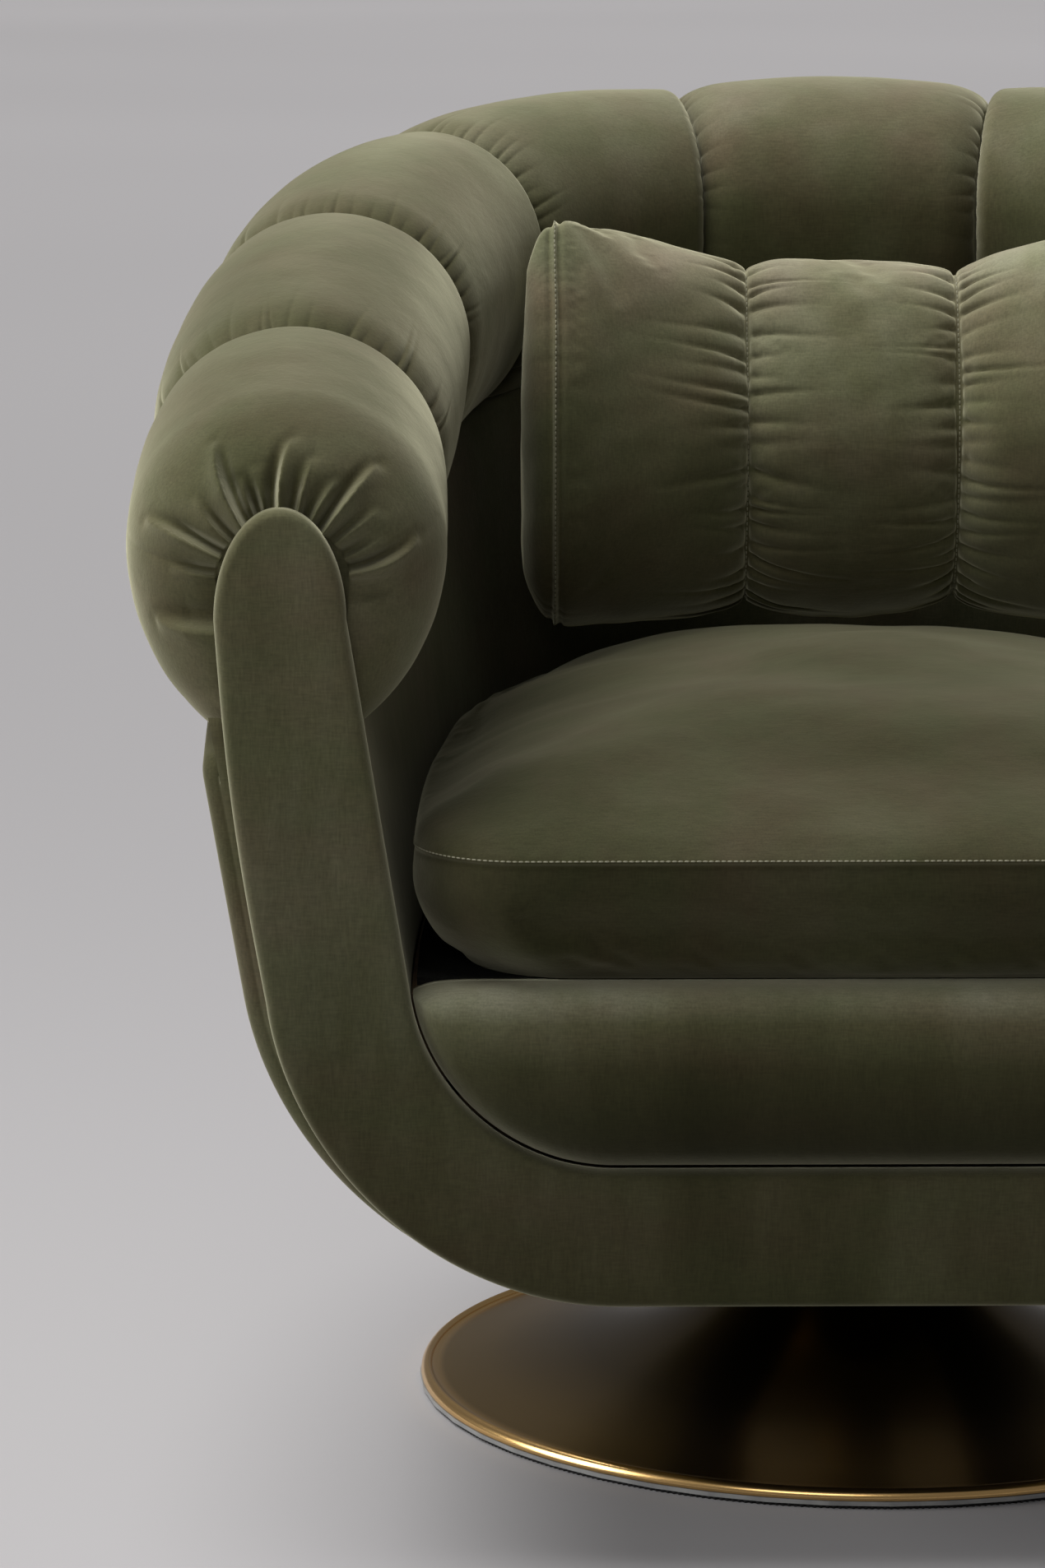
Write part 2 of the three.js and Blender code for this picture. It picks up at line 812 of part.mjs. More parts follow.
const frontRailHalfWidth = -rimCrossing(seatRailIn, 'y', frontRailY + frontRailWidth).x - seatGap;
const frontRail = new THREE.BoxGeometry(2 * frontRailHalfWidth, frontRailWidth, frontRailHeight);
addPiece(tub, 'front_rail', frontRail, timber).position.set(
  0,
  frontRailY + frontRailWidth / 2,
  seatRailTop - frontRailHeight / 2,
);

// Ribs stand on the board, carry the seat rail on a ledge, and end in a tongue
// under the rim rail
function ribOutline(distance) {
  const lowEdge = Math.min(distance, 2 * halfPath - distance) - plyThickness / 2;
  const top = wallTop(lowEdge) - panelGap;
  const tongueEnd = tongueTop(lowEdge) - seatGap;
  const foot = boardTop + seatGap;
  const outer = shellLine(top, shellThickness + panelGap).filter(([, z]) => z > foot);
  const footIn = floorOut - ribFootLength;
  const ledge = seatRailTop - seatRailHeight - seatGap;
  return [
    ...outer,
    [floorOut, foot],
    [footIn, foot],
    [footIn, foot + ribFootHeight],
    [seatRailIn, foot + ribFootHeight],
    [seatRailIn, ledge],
    [seatRailOut + panelGap, ledge],
    [seatRailOut + panelGap, seatRailTop],
    [liningBackBottom + panelGap, liningBottom],
    [liningBackTop + panelGap, top],
    [-tongueHalfWidth, top],
    [-tongueHalfWidth, tongueEnd],
    [tongueHalfWidth, tongueEnd],
    [tongueHalfWidth, top],
  ];
}

function rib(distance) {
  const shape = new THREE.Shape(ribOutline(distance).map(([u, z]) => new THREE.Vector2(u, z)));
  const geometry = new THREE.ExtrudeGeometry(shape, { depth: plyThickness, bevelEnabled: false });
  geometry.translate(0, 0, -plyThickness / 2);
  geometry.rotateX(Math.PI / 2);
  return geometry;
}

const leftRibs = ribStationShares.map((share) => rimStations()[Math.round(share * rimSteps)]);
const rightRibs = leftRibs.map((distance) => 2 * halfPath - distance).reverse();
const ribDistances = [...leftRibs, halfPath, ...rightRibs];
ribDistances.forEach((distance, index) => {
  const { x, y, out } = rimPoint(distance);
  const mesh = addPiece(tub, `frame_rib_${index + 1}`, rib(distance), timber);
  mesh.position.set(x, y, 0);
  mesh.rotation.z = Math.atan2(out.y, out.x);
});

// Webbing and seat deck

const webbingEnd = seatRailIn + webbingBearing;
const webbingMiddleY = (bodyFrontY + rimBackY) / 2;

for (let count = 0; count < longWebbingCount; count += 1) {
  const x = (count - (longWebbingCount - 1) / 2) * longWebbingPitchShare * 2 * rimRadius;
  const front = frontRailY + frontRailWidth - webbingBearing;
  const back = rimCrossing(webbingEnd, 'x', -Math.abs(x) - webbingWidth / 2).y;
  const strap = new THREE.BoxGeometry(webbingWidth, back - front, webbingThickness);
  addPiece(tub, `long_webbing_${count + 1}`, strap, wovenWeb).position.set(
    x,
    (front + back) / 2,
    longWebbingTop - webbingThickness / 2,
  );
}

for (let count = 0; count < crossWebbingCount; count += 1) {
  const y = webbingMiddleY + (count - crossWebbingCount / 2) * crossWebbingPitchShare * rimDepth;
  const halfLength = -rimCrossing(webbingEnd, 'y', y + webbingWidth / 2).x;
  const strap = new THREE.BoxGeometry(2 * halfLength, webbingWidth, webbingThickness);
  addPiece(tub, `cross_webbing_${count + 1}`, strap, wovenWeb).position.set(
    0,
    y,
    crossWebbingTop - webbingThickness / 2,
  );
}

addPiece(tub, 'seat_deck', plateInRim(
  -liningBottomIn - stuffingGap,
  frontRailY,
  deckHeight - deckThickness,
  deckThickness,
), blackCloth);

// Covers of the tub

addPiece(tub, 'outer_shell', sweptRoundRim((distance) => [
  ...shellLine(wallTop(distance), 0),
  ...shellLine(wallTop(distance), shellThickness).reverse(),
]), velvet);

addPiece(tub, 'inner_lining', sweptRoundRim((distance) => [
  [liningBackTop, wallTop(distance)],
  [-liningTopIn, wallTop(distance)],
  [-liningBottomIn, liningBottom],
  [liningBackBottom, liningBottom],
]), velvet);

const paddedPlate = (thickness, bevel, segments) => ({
  depth: thickness - 2 * bevel,
  bevelEnabled: true,
  bevelThickness: bevel,
  bevelSize: bevel,
  bevelOffset: -bevel,
  bevelSegments: segments,
});

function frontFacing() {
  const straight = tubLine({
    topOut: facingSpringOut,
    topHeight: facingSpringHeight,
    kneeOut: facingKneeOut,
    endOut: floorOut,
    endHeight: undersideHeight,
  });
  const outer = onLeftArm(bowedOut(straight, facingBow)).reverse();
  const archHalfWidth = (facingSpringOut + facingSpringIn) / 2;
  const archCentre = (facingSpringOut - facingSpringIn) / 2;
  const arch = Array.from({ length: archPoints - 1 }, (_, step) => {
    const angle = (step + 1) / archPoints * Math.PI;
    return [
      archCentre + archHalfWidth * Math.cos(angle),
      facingSpringHeight + facingArchHeight * Math.sin(angle),
    ];
  });
  const outline = mirrored([...outer, ...onLeftArm(arch), ...onLeftArm(facingInnerLine(0))]);
  return standingPlate(outline, paddedPlate(facingThickness, facingBevel, 2), facingBackY - facingBevel);
}

addPiece(tub, 'front_facing', frontFacing(), velvet);

// The pad's face rounds over to its edges
function borderPad() {
  const side = onLeftArm(facingInnerLine(borderSideGap)).slice(1).reverse();
  const topX = side[side.length - 1][0];
  const top = deckHeight - borderTopDrop;
  const outline = mirrored([
    ...side,
    [topX + borderCornerRadius / 4, top - borderCornerRadius / 4],
    [topX + borderCornerRadius, top],
  ]);
  const bottom = side[0][1];
  const middle = (top + bottom) / 2;
  const drawnIn = (inset) => outline.map(([x, z]) => [
    x * (1 + inset / topX),
    middle + (z - middle) * (1 - 2 * inset / (top - bottom)),
  ]);
  const roundOver = Array.from({ length: borderSteps + 1 }, (_, step) => {
    const angle = step / borderSteps * Math.PI / 2;
    return [borderBevel * (1 - Math.cos(angle)), borderFrontY + borderBevel * (1 - Math.sin(angle))];
  });
  const rings = [[0, formerBackY], ...roundOver].map(([inset, y]) => (
    drawnIn(inset).map(([x, z]) => new THREE.Vector3(x, y, z))));
  return skinOverRings(rings, outline, outline);
}

addPiece(tub, 'border_pad', borderPad(), velvet);

// Roll channels

const slotHalfWidth = tongueHalfWidth + stuffingGap;
const slotDepth = rimRailDepth - stuffingGap;

// Cross-section, measured down from the crest, of a roll drawn in by an inset
function rollSection(inset) {
  const drawnIn = (halfWidth) => Math.max(halfWidth - inset, coreHalfWidth);
  const crown = Array.from({ length: crownPoints + 1 }, (_, step) => {
    const angle = step / crownPoints * Math.PI;
    return [
      drawnIn(rollHalfWidth) * Math.cos(angle),
      -rollCrownHeight + (rollCrownHeight - inset) * Math.sin(angle),
    ];
  });
  const taper = Math.sqrt(1 - (rollSkirtHalfWidth / rollHalfWidth) ** 2);
  const skirt = Array.from({ length: skirtPoints }, (_, step) => {
    const share = (step + 1) / skirtPoints;
    const halfWidth = rollHalfWidth * Math.sqrt(1 - (share * taper) ** 2);
    return [drawnIn(halfWidth), -rollCrownHeight - share * rollSkirtHeight];
  });
  const farSkirt = skirt.map(([u, v]) => [-u, v]);
  const bottom = -rollCrownHeight - rollSkirtHeight;
  const slot = [
    [-slotHalfWidth, bottom],
    [-slotHalfWidth, -slotDepth],
    [slotHalfWidth, -slotDepth],
    [slotHalfWidth, bottom],
  ];
  return [...crown, ...farSkirt, ...slot, ...skirt.reverse()];
}

// A channel swells between its two seams. A nose rounds over to the arm's front.
function rollChannel(start, end, hasNose) {
  const length = end - start;
  const noseStations = hasNose
    ? Array.from({ length: noseSteps }, (_, step) => (
      noseRadius * (1 - Math.cos(step / noseSteps * Math.PI / 2))))
    : [];
  const bodyStart = hasNose ? noseRadius : 0;
  const bodyStations = Array.from({ length: channelSteps + 1 }, (_, step) => {
    const share = (1 - Math.cos(step / channelSteps * Math.PI)) / 2;
    return bodyStart + (length - bodyStart) * share;
  });
  const insetAt = (along) => {
    if (hasNose && along < noseRadius) {
      return noseInset * (1 - Math.sqrt(1 - (1 - along / noseRadius) ** 2));
    }
    const fromMiddle = hasNose ? along / length : Math.abs(2 * along / length - 1);
    const fromNose = hasNose ? Math.max(fromMiddle - 0.5, 0) * 2 : fromMiddle;
    return seamDepth * fromNose ** seamPowerShare;
  };
  const stations = [...noseStations, ...bodyStations];
  return sweptRoundRim((distance) => (
    rollSection(insetAt(distance - start)).map(([u, v]) => [u, crestHeight(distance) + v])
  ), stations.map((along) => start + along));
}

// The mirror image of a channel, for the right-hand side
function mirroredSkin(geometry) {
  const positions = Array.from(geometry.attributes.position.array);
  for (let start = 0; start < positions.length; start += 3) {
    positions[start] *= -1;
  }
  const index = Array.from(geometry.index.array);
  const faces = [];
  for (let start = 0; start < index.length; start += 3) {
    faces.push([index[start], index[start + 1], index[start + 2]]);
  }
  return closedGeometry(positions, faces);
}

const backChannels = channelsPerSide - 1 / 2;
const channelLength = halfPath / (backChannels + frontChannelShare);
const firstSeam = halfPath - channelLength * backChannels;
const channelNames = ['arm_front', 'arm_rear', 'shoulder', 'corner'];
for (let count = 0; count < channelsPerSide; count += 1) {
  const start = count === 0 ? 0 : firstSeam + (count - 1) * channelLength + seamGap / 2;
  const end = firstSeam + count * channelLength - seamGap / 2;
  const left = rollChannel(start, end, count === 0);
  addPiece(tub, `roll_${channelNames[count]}_left`, left, velvet);
  addPiece(tub, `roll_${channelNames[count]}_right`, mirroredSkin(left), velvet);
}
addPiece(tub, 'roll_back_centre', rollChannel(
  halfPath - (channelLength - seamGap) / 2,
  halfPath + (channelLength - seamGap) / 2,
  false,
), velvet);

// Seat cushion

const cushionBottom = deckHeight + seatGap;
const cushionSeamHeight = cushionBottom + cushionSeamRise;
const cushionEdge = -liningBottomIn - cushionSideGap;
const cushionBackY = placeOnRim(halfPath, cushionEdge, 0).y;
const cushionCentreY = (cushionFrontY + cushionBackY) / 2;

// Plan of the cushion, drawn in by an inset. It follows the rim behind two
// rounded front corners.
function cushionPlan(inset) {
  const edge = cushionEdge - inset;
  const front = cushionFrontY + inset;
  const radius = cushionCornerRadius;
  const side = rimCrossing(edge, 'y', front + radius).x;
  const corner = Array.from({ length: cushionCornerPoints }, (_, step) => {
    const angle = step / cushionCornerPoints * Math.PI / 2;
    return [side + radius - radius * Math.sin(angle), front + radius - radius * Math.cos(angle)];
  });
  const along = rimStations()
    .slice(cushionFirstStation, rimSteps)
    .map((distance) => placeOnRim(distance, edge, 0))
    .map((point) => [point.x, point.y]);
  const left = [...corner, [side, front + radius], ...along];
  const frontEdge = Array.from({ length: cushionFrontPoints }, (_, step) => {
    const share = (step + 1) / (cushionFrontPoints + 1);
    return [(side + radius) * (2 * share - 1), front];
  });
  const back = placeOnRim(halfPath, edge, 0);
  return [...left, [0, back.y], ...left.map(([x, y]) => [-x, y]).reverse(), ...frontEdge];
}

function seatCushion() {
  const seamPlan = cushionPlan(cushionSeamDraw);
  const sideRings = cushionSideShares.map(([tuck, rise]) => {
    const height = cushionBottom + rise * cushionSeamRise;
    return cushionPlan(tuck * cushionTuck).map(([x, y]) => new THREE.Vector3(x, y, height));
  });
  sideRings.push(seamPlan.map(([x, y]) => new THREE.Vector3(x, y, cushionSeamHeight)));
  const crownRings = cushionCrownShares.map(([share, rise]) => {
    const height = cushionSeamHeight + cushionCrown * rise;
    return seamPlan.map(([x, y]) => (
      new THREE.Vector3(x * share, cushionCentreY + (y - cushionCentreY) * share, height)));
  });
  return skinOverRings([...sideRings, ...crownRings], seamPlan, seamPlan);
}

const seatCushionSkin = seatCushion();
addPiece(chair, 'seat_cushion', seatCushionSkin, velvet);

// Lumbar pillow: three channels between two gathered seams, bowed to the back

function pillow() {
  const bottom = cushionSeamHeight + cushionCrown - pillowSink;
  const backY = rimBackY - rollHalfWidth - pillowBackGap;
  const middleX = pillowMiddleShares.map((share) => share * pillowSeamOffset);
  const outerX = pillowOuterShares.map((share) => (
    pillowSeamOffset + share * (pillowHalfWidth - pillowEndRound - pillowSeamOffset)));
  const endX = pillowEndShares.map((share) => pillowHalfWidth - pillowEndRound * (1 - share));
  const rightX = [...middleX, ...outerX, ...endX];
  const allX = [...rightX.slice(1).reverse().map((x) => -x), ...rightX];
  const rings = allX.map((x) => {
    const reach = Math.abs(x);
    const outward = reach / pillowHalfWidth;
    const fromSeam = (reach - pillowSeamOffset) / (pillowSeamOffset * pillowSeamReachShare);
    const toSeam = Math.exp(-(fromSeam ** 2));
    const toEnd = Math.max(reach - pillowHalfWidth + pillowEndRound, 0) / pillowEndRound;
    const endClose = Math.sqrt(1 - (toEnd * pillowEndCloseShare) ** 2);
    const fullDepth = pillowThickness - (pillowThickness - pillowEndThickness) * outward ** 2;
    const depth = (fullDepth - 2 * pillowSeamDraw * toSeam) * endClose;
    const fullHeight = pillowHeight + pillowEar * outward ** 2;
    const height = (fullHeight - pillowSeamDraw * toSeam) * (1 + endClose) / 2;
    const centreY = backY - pillowThickness / 2 - pillowBow * outward ** 2;
    const centreZ = bottom + fullHeight / 2;
    return Array.from({ length: pillowRingPoints }, (_, step) => {
      const angle = step / pillowRingPoints * 2 * Math.PI;
      const power = 2 / pillowPowerShare;
      const cos = Math.cos(angle);
      const sin = Math.sin(angle);
      const y = centreY + Math.sign(cos) * Math.abs(cos) ** power * depth / 2;
      const z = centreZ + Math.sign(sin) * Math.abs(sin) ** power * height / 2;
      return new THREE.Vector3(x, y, z);
    });
  });
  const outlineOf = (ring) => ring.map((point) => [point.y, point.z]);
  const skin = skinOverRings(rings, outlineOf(rings[0]), outlineOf(rings[rings.length - 1]));
  const raised = seatCushionSkin.clone();
  raised.translate(0, 0, seatGap);
  return toGeometry(toSolid(skin).subtract(toSolid(raised)));
}

addPiece(chair, 'lumbar_pillow', pillow(), velvet);

export default chair;
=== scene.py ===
# A channelled velvet tub chair on a brass swivel foot: looks, light and camera.
# Metres, +Z up, the front faces -Y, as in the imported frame.

import json
import math

import bpy
import numpy as np
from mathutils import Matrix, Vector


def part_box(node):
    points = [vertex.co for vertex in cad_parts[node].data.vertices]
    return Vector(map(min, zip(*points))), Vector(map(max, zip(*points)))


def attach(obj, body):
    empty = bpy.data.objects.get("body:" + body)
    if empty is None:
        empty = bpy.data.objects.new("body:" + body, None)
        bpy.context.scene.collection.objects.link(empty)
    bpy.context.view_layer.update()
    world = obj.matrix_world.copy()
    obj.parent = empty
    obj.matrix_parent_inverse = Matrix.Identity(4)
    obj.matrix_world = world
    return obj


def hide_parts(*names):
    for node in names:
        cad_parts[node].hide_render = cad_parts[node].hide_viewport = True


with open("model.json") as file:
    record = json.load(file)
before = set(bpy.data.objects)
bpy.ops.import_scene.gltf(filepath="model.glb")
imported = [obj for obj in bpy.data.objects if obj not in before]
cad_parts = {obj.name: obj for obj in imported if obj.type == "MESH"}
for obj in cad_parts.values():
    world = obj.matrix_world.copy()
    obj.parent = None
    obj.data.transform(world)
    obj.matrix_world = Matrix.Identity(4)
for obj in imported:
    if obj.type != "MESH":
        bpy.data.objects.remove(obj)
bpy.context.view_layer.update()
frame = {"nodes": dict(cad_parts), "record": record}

MM = 0.001

# Plan of the rim, as in the CAD
RIM_HALF_WIDTH = 352 * MM
RIM_FRONT = -395.7 * MM
RIM_BACK = 325 * MM
RIM_ARM_HANDLE_SHARE = 0.83
RIM_BACK_HANDLE_SHARE = 0.74
ARM_CREST = 657 * MM
BACK_CREST = 818 * MM

# Roll
ROLL_HALF_WIDTH = 90 * MM
ROLL_CROWN = 85 * MM
ROLL_SKIRT = 98 * MM
ROLL_SKIRT_HALF_WIDTH = 41 * MM
NOSE_LENGTH = 58 * MM
NOSE_INSET = 53 * MM
NOSE_CORE = 30 * MM
SEAM_GAP = 0.6 * MM
SMOOTH_EDGE = 12 * MM
SMOOTH_EDGE_DEPTH = 14 * MM
GATHERED_EDGE = 30 * MM
GATHERED_EDGE_DEPTH = 13 * MM
SEAM_SWELL = 6 * MM
FRONT_CHANNEL_SHARE = 0.835
BACK_CHANNELS = 3.5

# Tub
UNDERSIDE = 160 * MM
KNEE = 336 * MM
UNDER_SWEEP = 187 * MM
BAND_SWEEP_LESS = 3 * MM
BAND_HEIGHT = 79 * MM
CORNER_HANDLE_SHARE = 0.52
SHELL_TOP_OUT = 48 * MM
SHELL_KNEE_OUT = 24 * MM
SHELL_THICKNESS = 11 * MM
SHELL_LIP = 10 * MM
SHELL_WRAP = 14 * MM
SHELL_TONGUE = 22 * MM
SHELL_TOP_ROUND = 16 * MM
SHELL_TOP_DRAW = 9 * MM
LINING_TOP_IN = 42 * MM
LINING_BOTTOM_IN = 70 * MM
LINING_THICKNESS = 15 * MM
FACING_FRONT = -411 * MM
FACING_THICKNESS = 15 * MM
FACING_ARCH = 62 * MM
FACING_SPRING = 551 * MM
FACING_SPRING_OUT = 38 * MM
FACING_SPRING_IN = 35 * MM
FACING_KNEE_OUT = 11 * MM
FACING_KNEE_IN = 70 * MM
FACING_BOW = 4 * MM
DECK = 345 * MM
BORDER_FRONT = -420 * MM

# Seat cushion
CUSHION_FRONT = -415 * MM
CUSHION_SIDE_IN = 71.5 * MM
CUSHION_CORNER = 62 * MM
CUSHION_SEAM_RISE = 72 * MM
CUSHION_CROWN = 76 * MM

# Lumbar pillow
PILLOW_HALF_WIDTH = 213 * MM
PILLOW_SEAM = 68 * MM
PILLOW_HEIGHT = 234 * MM
PILLOW_EAR = 38 * MM
PILLOW_THICKNESS = 142 * MM
PILLOW_END_THICKNESS = 88 * MM
PILLOW_BOW = 74 * MM
PILLOW_SINK = 20 * MM
PILLOW_BACK_GAP = 9 * MM
PILLOW_END_ROUND = 34 * MM
PILLOW_END_BAND = 20 * MM

# Cloth and thread
CLOTH_FRAMES = 20
STITCH = 3.4 * MM
STITCH_WIDTH = 0.9 * MM

# Foot
FOOT_RADIUS = 280 * MM
BEAD_RADIUS = 3.4 * MM
BEAD_TOP_TILT = 70
BEAD_BOTTOM_TILT = -8
NECK_RADIUS = 33 * MM
NECK_HEIGHT = 138 * MM
FOOT_BOTTOM = 5.4 * MM
FOOT_SHEET = 1.6 * MM
FLOOR_RING_WIDTH = 16 * MM
FLOOR_TEETH = 460
FLOOR_TOOTH_DEPTH = 1.2 * MM


# Shared tools

def smooth(value):
    """An S-shaped step from 0 to 1."""
    share = np.clip(value, 0, 1)
    return share * share * (3 - 2 * share)


def edge_drop(distance, reach, depth):
    """A rounded edge: how far a skin has dropped at a distance from its seam."""
    near = np.clip(1 - distance / reach, 0, 1)
    return depth * (1 - np.sqrt(1 - near ** 2))


def ripple(points, wavelength, seed, count=10):
    """Smooth seeded unevenness between about -1 and 1 at points, an (..., 3) array."""
    random = np.random.default_rng(seed)
    total = np.zeros(points.shape[:-1])
    for _ in range(count):
        direction = random.normal(size=3)
        direction *= 2 * math.pi / (wavelength * np.linalg.norm(direction))
        direction *= random.uniform(0.6, 1.5)
        total += np.sin(points @ direction + random.uniform(0, 2 * math.pi))
    return total / math.sqrt(count)


def gathers(along, away, spacing, reach, seed):
    """Fine creases that run away from a seam: 0 between them, -1 at their bottoms.

    along is the distance along the seam, away the distance from it.
    """
    random = np.random.default_rng(seed)
    low, high = along.min() - 2 * spacing, along.max() + 2 * spacing
    steps = spacing * random.uniform(0.6, 1.45, int((high - low) / spacing * 1.3) + 4)
    edges = low + np.concatenate([[0], np.cumsum(steps)])
    depth = random.uniform(0.35, 1, len(edges))
    length = reach * random.uniform(0.35, 1.3, len(edges))
    lean = random.uniform(-0.22, 0.22, len(edges))
    count = np.arange(len(edges))
    phase = np.interp(along, edges, count)
    drift = np.interp(along, edges, lean) * away
    phase = np.interp(along + drift, edges, count)
    nearest = np.clip(np.rint(phase).astype(int), 0, len(edges) - 1)
    across = (1 - np.abs(np.sin(math.pi * (phase - nearest)))) ** 1.4
    fade = np.exp(-(away / length[nearest]) ** 1.6)
    return -depth[nearest] * across * fade


def mesh_object(name, points, faces):
    mesh = bpy.data.meshes.new(name)
    mesh.from_pydata(np.asarray(points).reshape(-1, 3).tolist(), [], faces)
    mesh.validate()
    mesh.shade_smooth()
    made = bpy.data.objects.new(name, mesh)
    bpy.context.collection.objects.link(made)
    return made


def skin(name, rings, cap_first=True, cap_last=True, flip=False):
    """A closed skin over rings, an array (ring, point, 3)."""
    ring_count, point_count = rings.shape[:2]
    index = np.arange(ring_count * point_count).reshape(ring_count, point_count)
    near, far = index[:-1], index[1:]
    quads = np.stack([near, np.roll(near, -1, 1), np.roll(far, -1, 1), far], -1).reshape(-1, 4)
    faces = quads.tolist()
    if cap_first:
        faces.append(index[0][::-1].tolist())
    if cap_last:
        faces.append(index[-1].tolist())
    if flip:
        faces = [face[::-1] for face in faces]
    return mesh_object(name, rings, faces)


def mirrored_rings(rings):
    return rings * np.array([-1, 1, 1])


def stitched(name, line, outside, length, pitch, width):
    """Small closed stitches laid along a line of points, outside being the way out of the cloth."""
    steps = np.concatenate([[0], np.cumsum(np.linalg.norm(np.diff(line, axis=0), axis=1))])
    turn = np.linspace(0, 2 * math.pi, 6, endpoint=False)
    points, faces = [], []
    for middle in np.arange(pitch, steps[-1] - pitch, pitch):
        ends = [np.array([np.interp(middle + half * length / 2, steps, line[:, axis])
                          for axis in range(3)]) for half in (-1, 1)]
        out = np.array([np.interp(middle, steps, outside[:, axis]) for axis in range(3)])
        out /= np.linalg.norm(out)
        along = (ends[1] - ends[0]) / np.linalg.norm(ends[1] - ends[0])
        across = np.cross(along, out)
        for share, size in ((0, 0.35), (0.18, 0.9), (0.5, 1.0), (0.82, 0.9), (1, 0.35)):
            centre = ends[0] * (1 - share) + ends[1] * share
            ring = np.outer(np.cos(turn), across) + np.outer(np.sin(turn), out)
            points.append(centre + ring * size * width / 2)
        first = len(points) * 6 - 30
        for ring in range(4):
            for corner in range(6):
                here = first + ring * 6 + corner
                beside = first + ring * 6 + (corner + 1) % 6
                faces.append([here, beside, beside + 6, here + 6])
        faces.append([first + corner for corner in reversed(range(6))])
        faces.append([first + 24 + corner for corner in range(6)])
    return outward(mesh_object(name, np.vstack(points), faces))


def outward(made):
    """Faces are turned to point out of the closed mesh."""
    import bmesh
    shape = bmesh.new()
    shape.from_mesh(made.data)
    bmesh.ops.remove_doubles(shape, verts=shape.verts, dist=0.02 * MM)
    bmesh.ops.recalc_face_normals(shape, faces=shape.faces)
    shape.to_mesh(made.data)
    shape.free()
    made.data.shade_smooth()
    return made


def grid_normals(rings):
    """Outward unit normals of a ring array that wraps round its points."""
    around = np.roll(rings, -1, 1) - np.roll(rings, 1, 1)
    along = np.gradient(rings, axis=0)
    normal = np.cross(around, along)
    length = np.linalg.norm(normal, axis=-1, keepdims=True)
    normal = normal / np.maximum(length, 1e-12)
    centre = rings.mean(axis=1, keepdims=True)
    sign = np.sign(np.sum((rings - centre) * normal))
    return normal * sign


# Cloth

def spread(values, at, axis):
    """Smooth cubic values in between, at positions counted in steps along the axis."""
    values = np.moveaxis(values, axis, 0)
    last = len(values) - 1
    low = np.clip(np.floor(at).astype(int), 0, last - 1)
    part = (at - low).reshape(-1, *[1] * (values.ndim - 1))
    before, here, after, beyond = (
        values[np.clip(low + step, 0, last)] for step in (-1, 0, 1, 2))
    slope_here = (after - before) / 2
    slope_after = (beyond - here) / 2
    curve = (2 * part ** 3 - 3 * part ** 2 + 1) * here + (part ** 3 - 2 * part ** 2 + part) * slope_here
    curve += (3 * part ** 2 - 2 * part ** 3) * after + (part ** 3 - part ** 2) * slope_after
    return np.moveaxis(curve, 0, axis)


def cloth_shift(rings, held, ring_step, point_step, cap, swelling=4.0, slack=0.0):
    """How far a cloth filled with air settles away from its rings.

    held is an array of 0 to 1 over the rings, 1 where the cloth is sewn or rests on something.
    """
    scene = bpy.context.scene
    ring_count, point_count = rings.shape[:2]
    ring_at = np.unique(np.append(np.arange(0, ring_count, ring_step), ring_count - 1))
    point_at = np.arange(0, point_count, point_step)
    coarse = rings[ring_at][:, point_at]
    pins = held[ring_at][:, point_at].ravel()
    made = skin("cloth_trial", coarse)
    group = made.vertex_groups.new(name="held")
    for weight in np.unique(np.round(pins, 1)):
        members = np.flatnonzero(np.round(pins, 1) == weight).tolist()
        group.add(members, float(weight), "REPLACE")
    modifier = made.modifiers.new("cloth", "CLOTH")
    settings = modifier.settings
    settings.quality = 5
    settings.mass = 0.3
    settings.use_pressure = True
    settings.uniform_pressure_force = swelling
    settings.shrink_min = -slack
    settings.vertex_group_mass = group.name
    settings.effector_weights.gravity = 0
    modifier.point_cache.frame_start = 1
    modifier.point_cache.frame_end = CLOTH_FRAMES
    for step in range(1, CLOTH_FRAMES + 1):
        scene.frame_set(step)
    settled = made.evaluated_get(bpy.context.evaluated_depsgraph_get()).data
    places = np.empty(len(settled.vertices) * 3)
    settled.vertices.foreach_get("co", places)
    bpy.data.objects.remove(made)
    scene.frame_set(1)
    shift = places.reshape(coarse.shape) - coarse
    length = np.linalg.norm(shift, axis=-1, keepdims=True)
    shift *= np.tanh(length / cap) * cap / np.maximum(length, 1e-9)
    wrapped = np.concatenate([shift, shift[:, :1]], 1)
    wide = spread(wrapped, np.arange(point_count) / point_step, 1)
    return spread(wide, np.interp(np.arange(ring_count), ring_at, np.arange(len(ring_at))), 0)


# Rim

def rim_table(samples=6000):
    share = np.linspace(0, 1, samples)[:, None]
    depth = RIM_BACK - RIM_FRONT
    corners = np.array([
        [-RIM_HALF_WIDTH, RIM_FRONT],
        [-RIM_HALF_WIDTH, RIM_FRONT + RIM_ARM_HANDLE_SHARE * depth],
        [-RIM_BACK_HANDLE_SHARE * RIM_HALF_WIDTH, RIM_BACK],
        [0, RIM_BACK],
    ])
    rest = 1 - share
    weights = np.hstack([rest ** 3, 3 * rest ** 2 * share, 3 * rest * share ** 2, share ** 3])
    points = weights @ corners
    tangent = np.gradient(points, axis=0)
    tangent /= np.linalg.norm(tangent, axis=1, keepdims=True)
    steps = np.linalg.norm(np.diff(points, axis=0), axis=1)
    return np.concatenate([[0], np.cumsum(steps)]), points, tangent


RIM_DISTANCE, RIM_POINTS, RIM_TANGENT = rim_table()
HALF_PATH = RIM_DISTANCE[-1]
CHANNEL = HALF_PATH / (BACK_CHANNELS + FRONT_CHANNEL_SHARE)


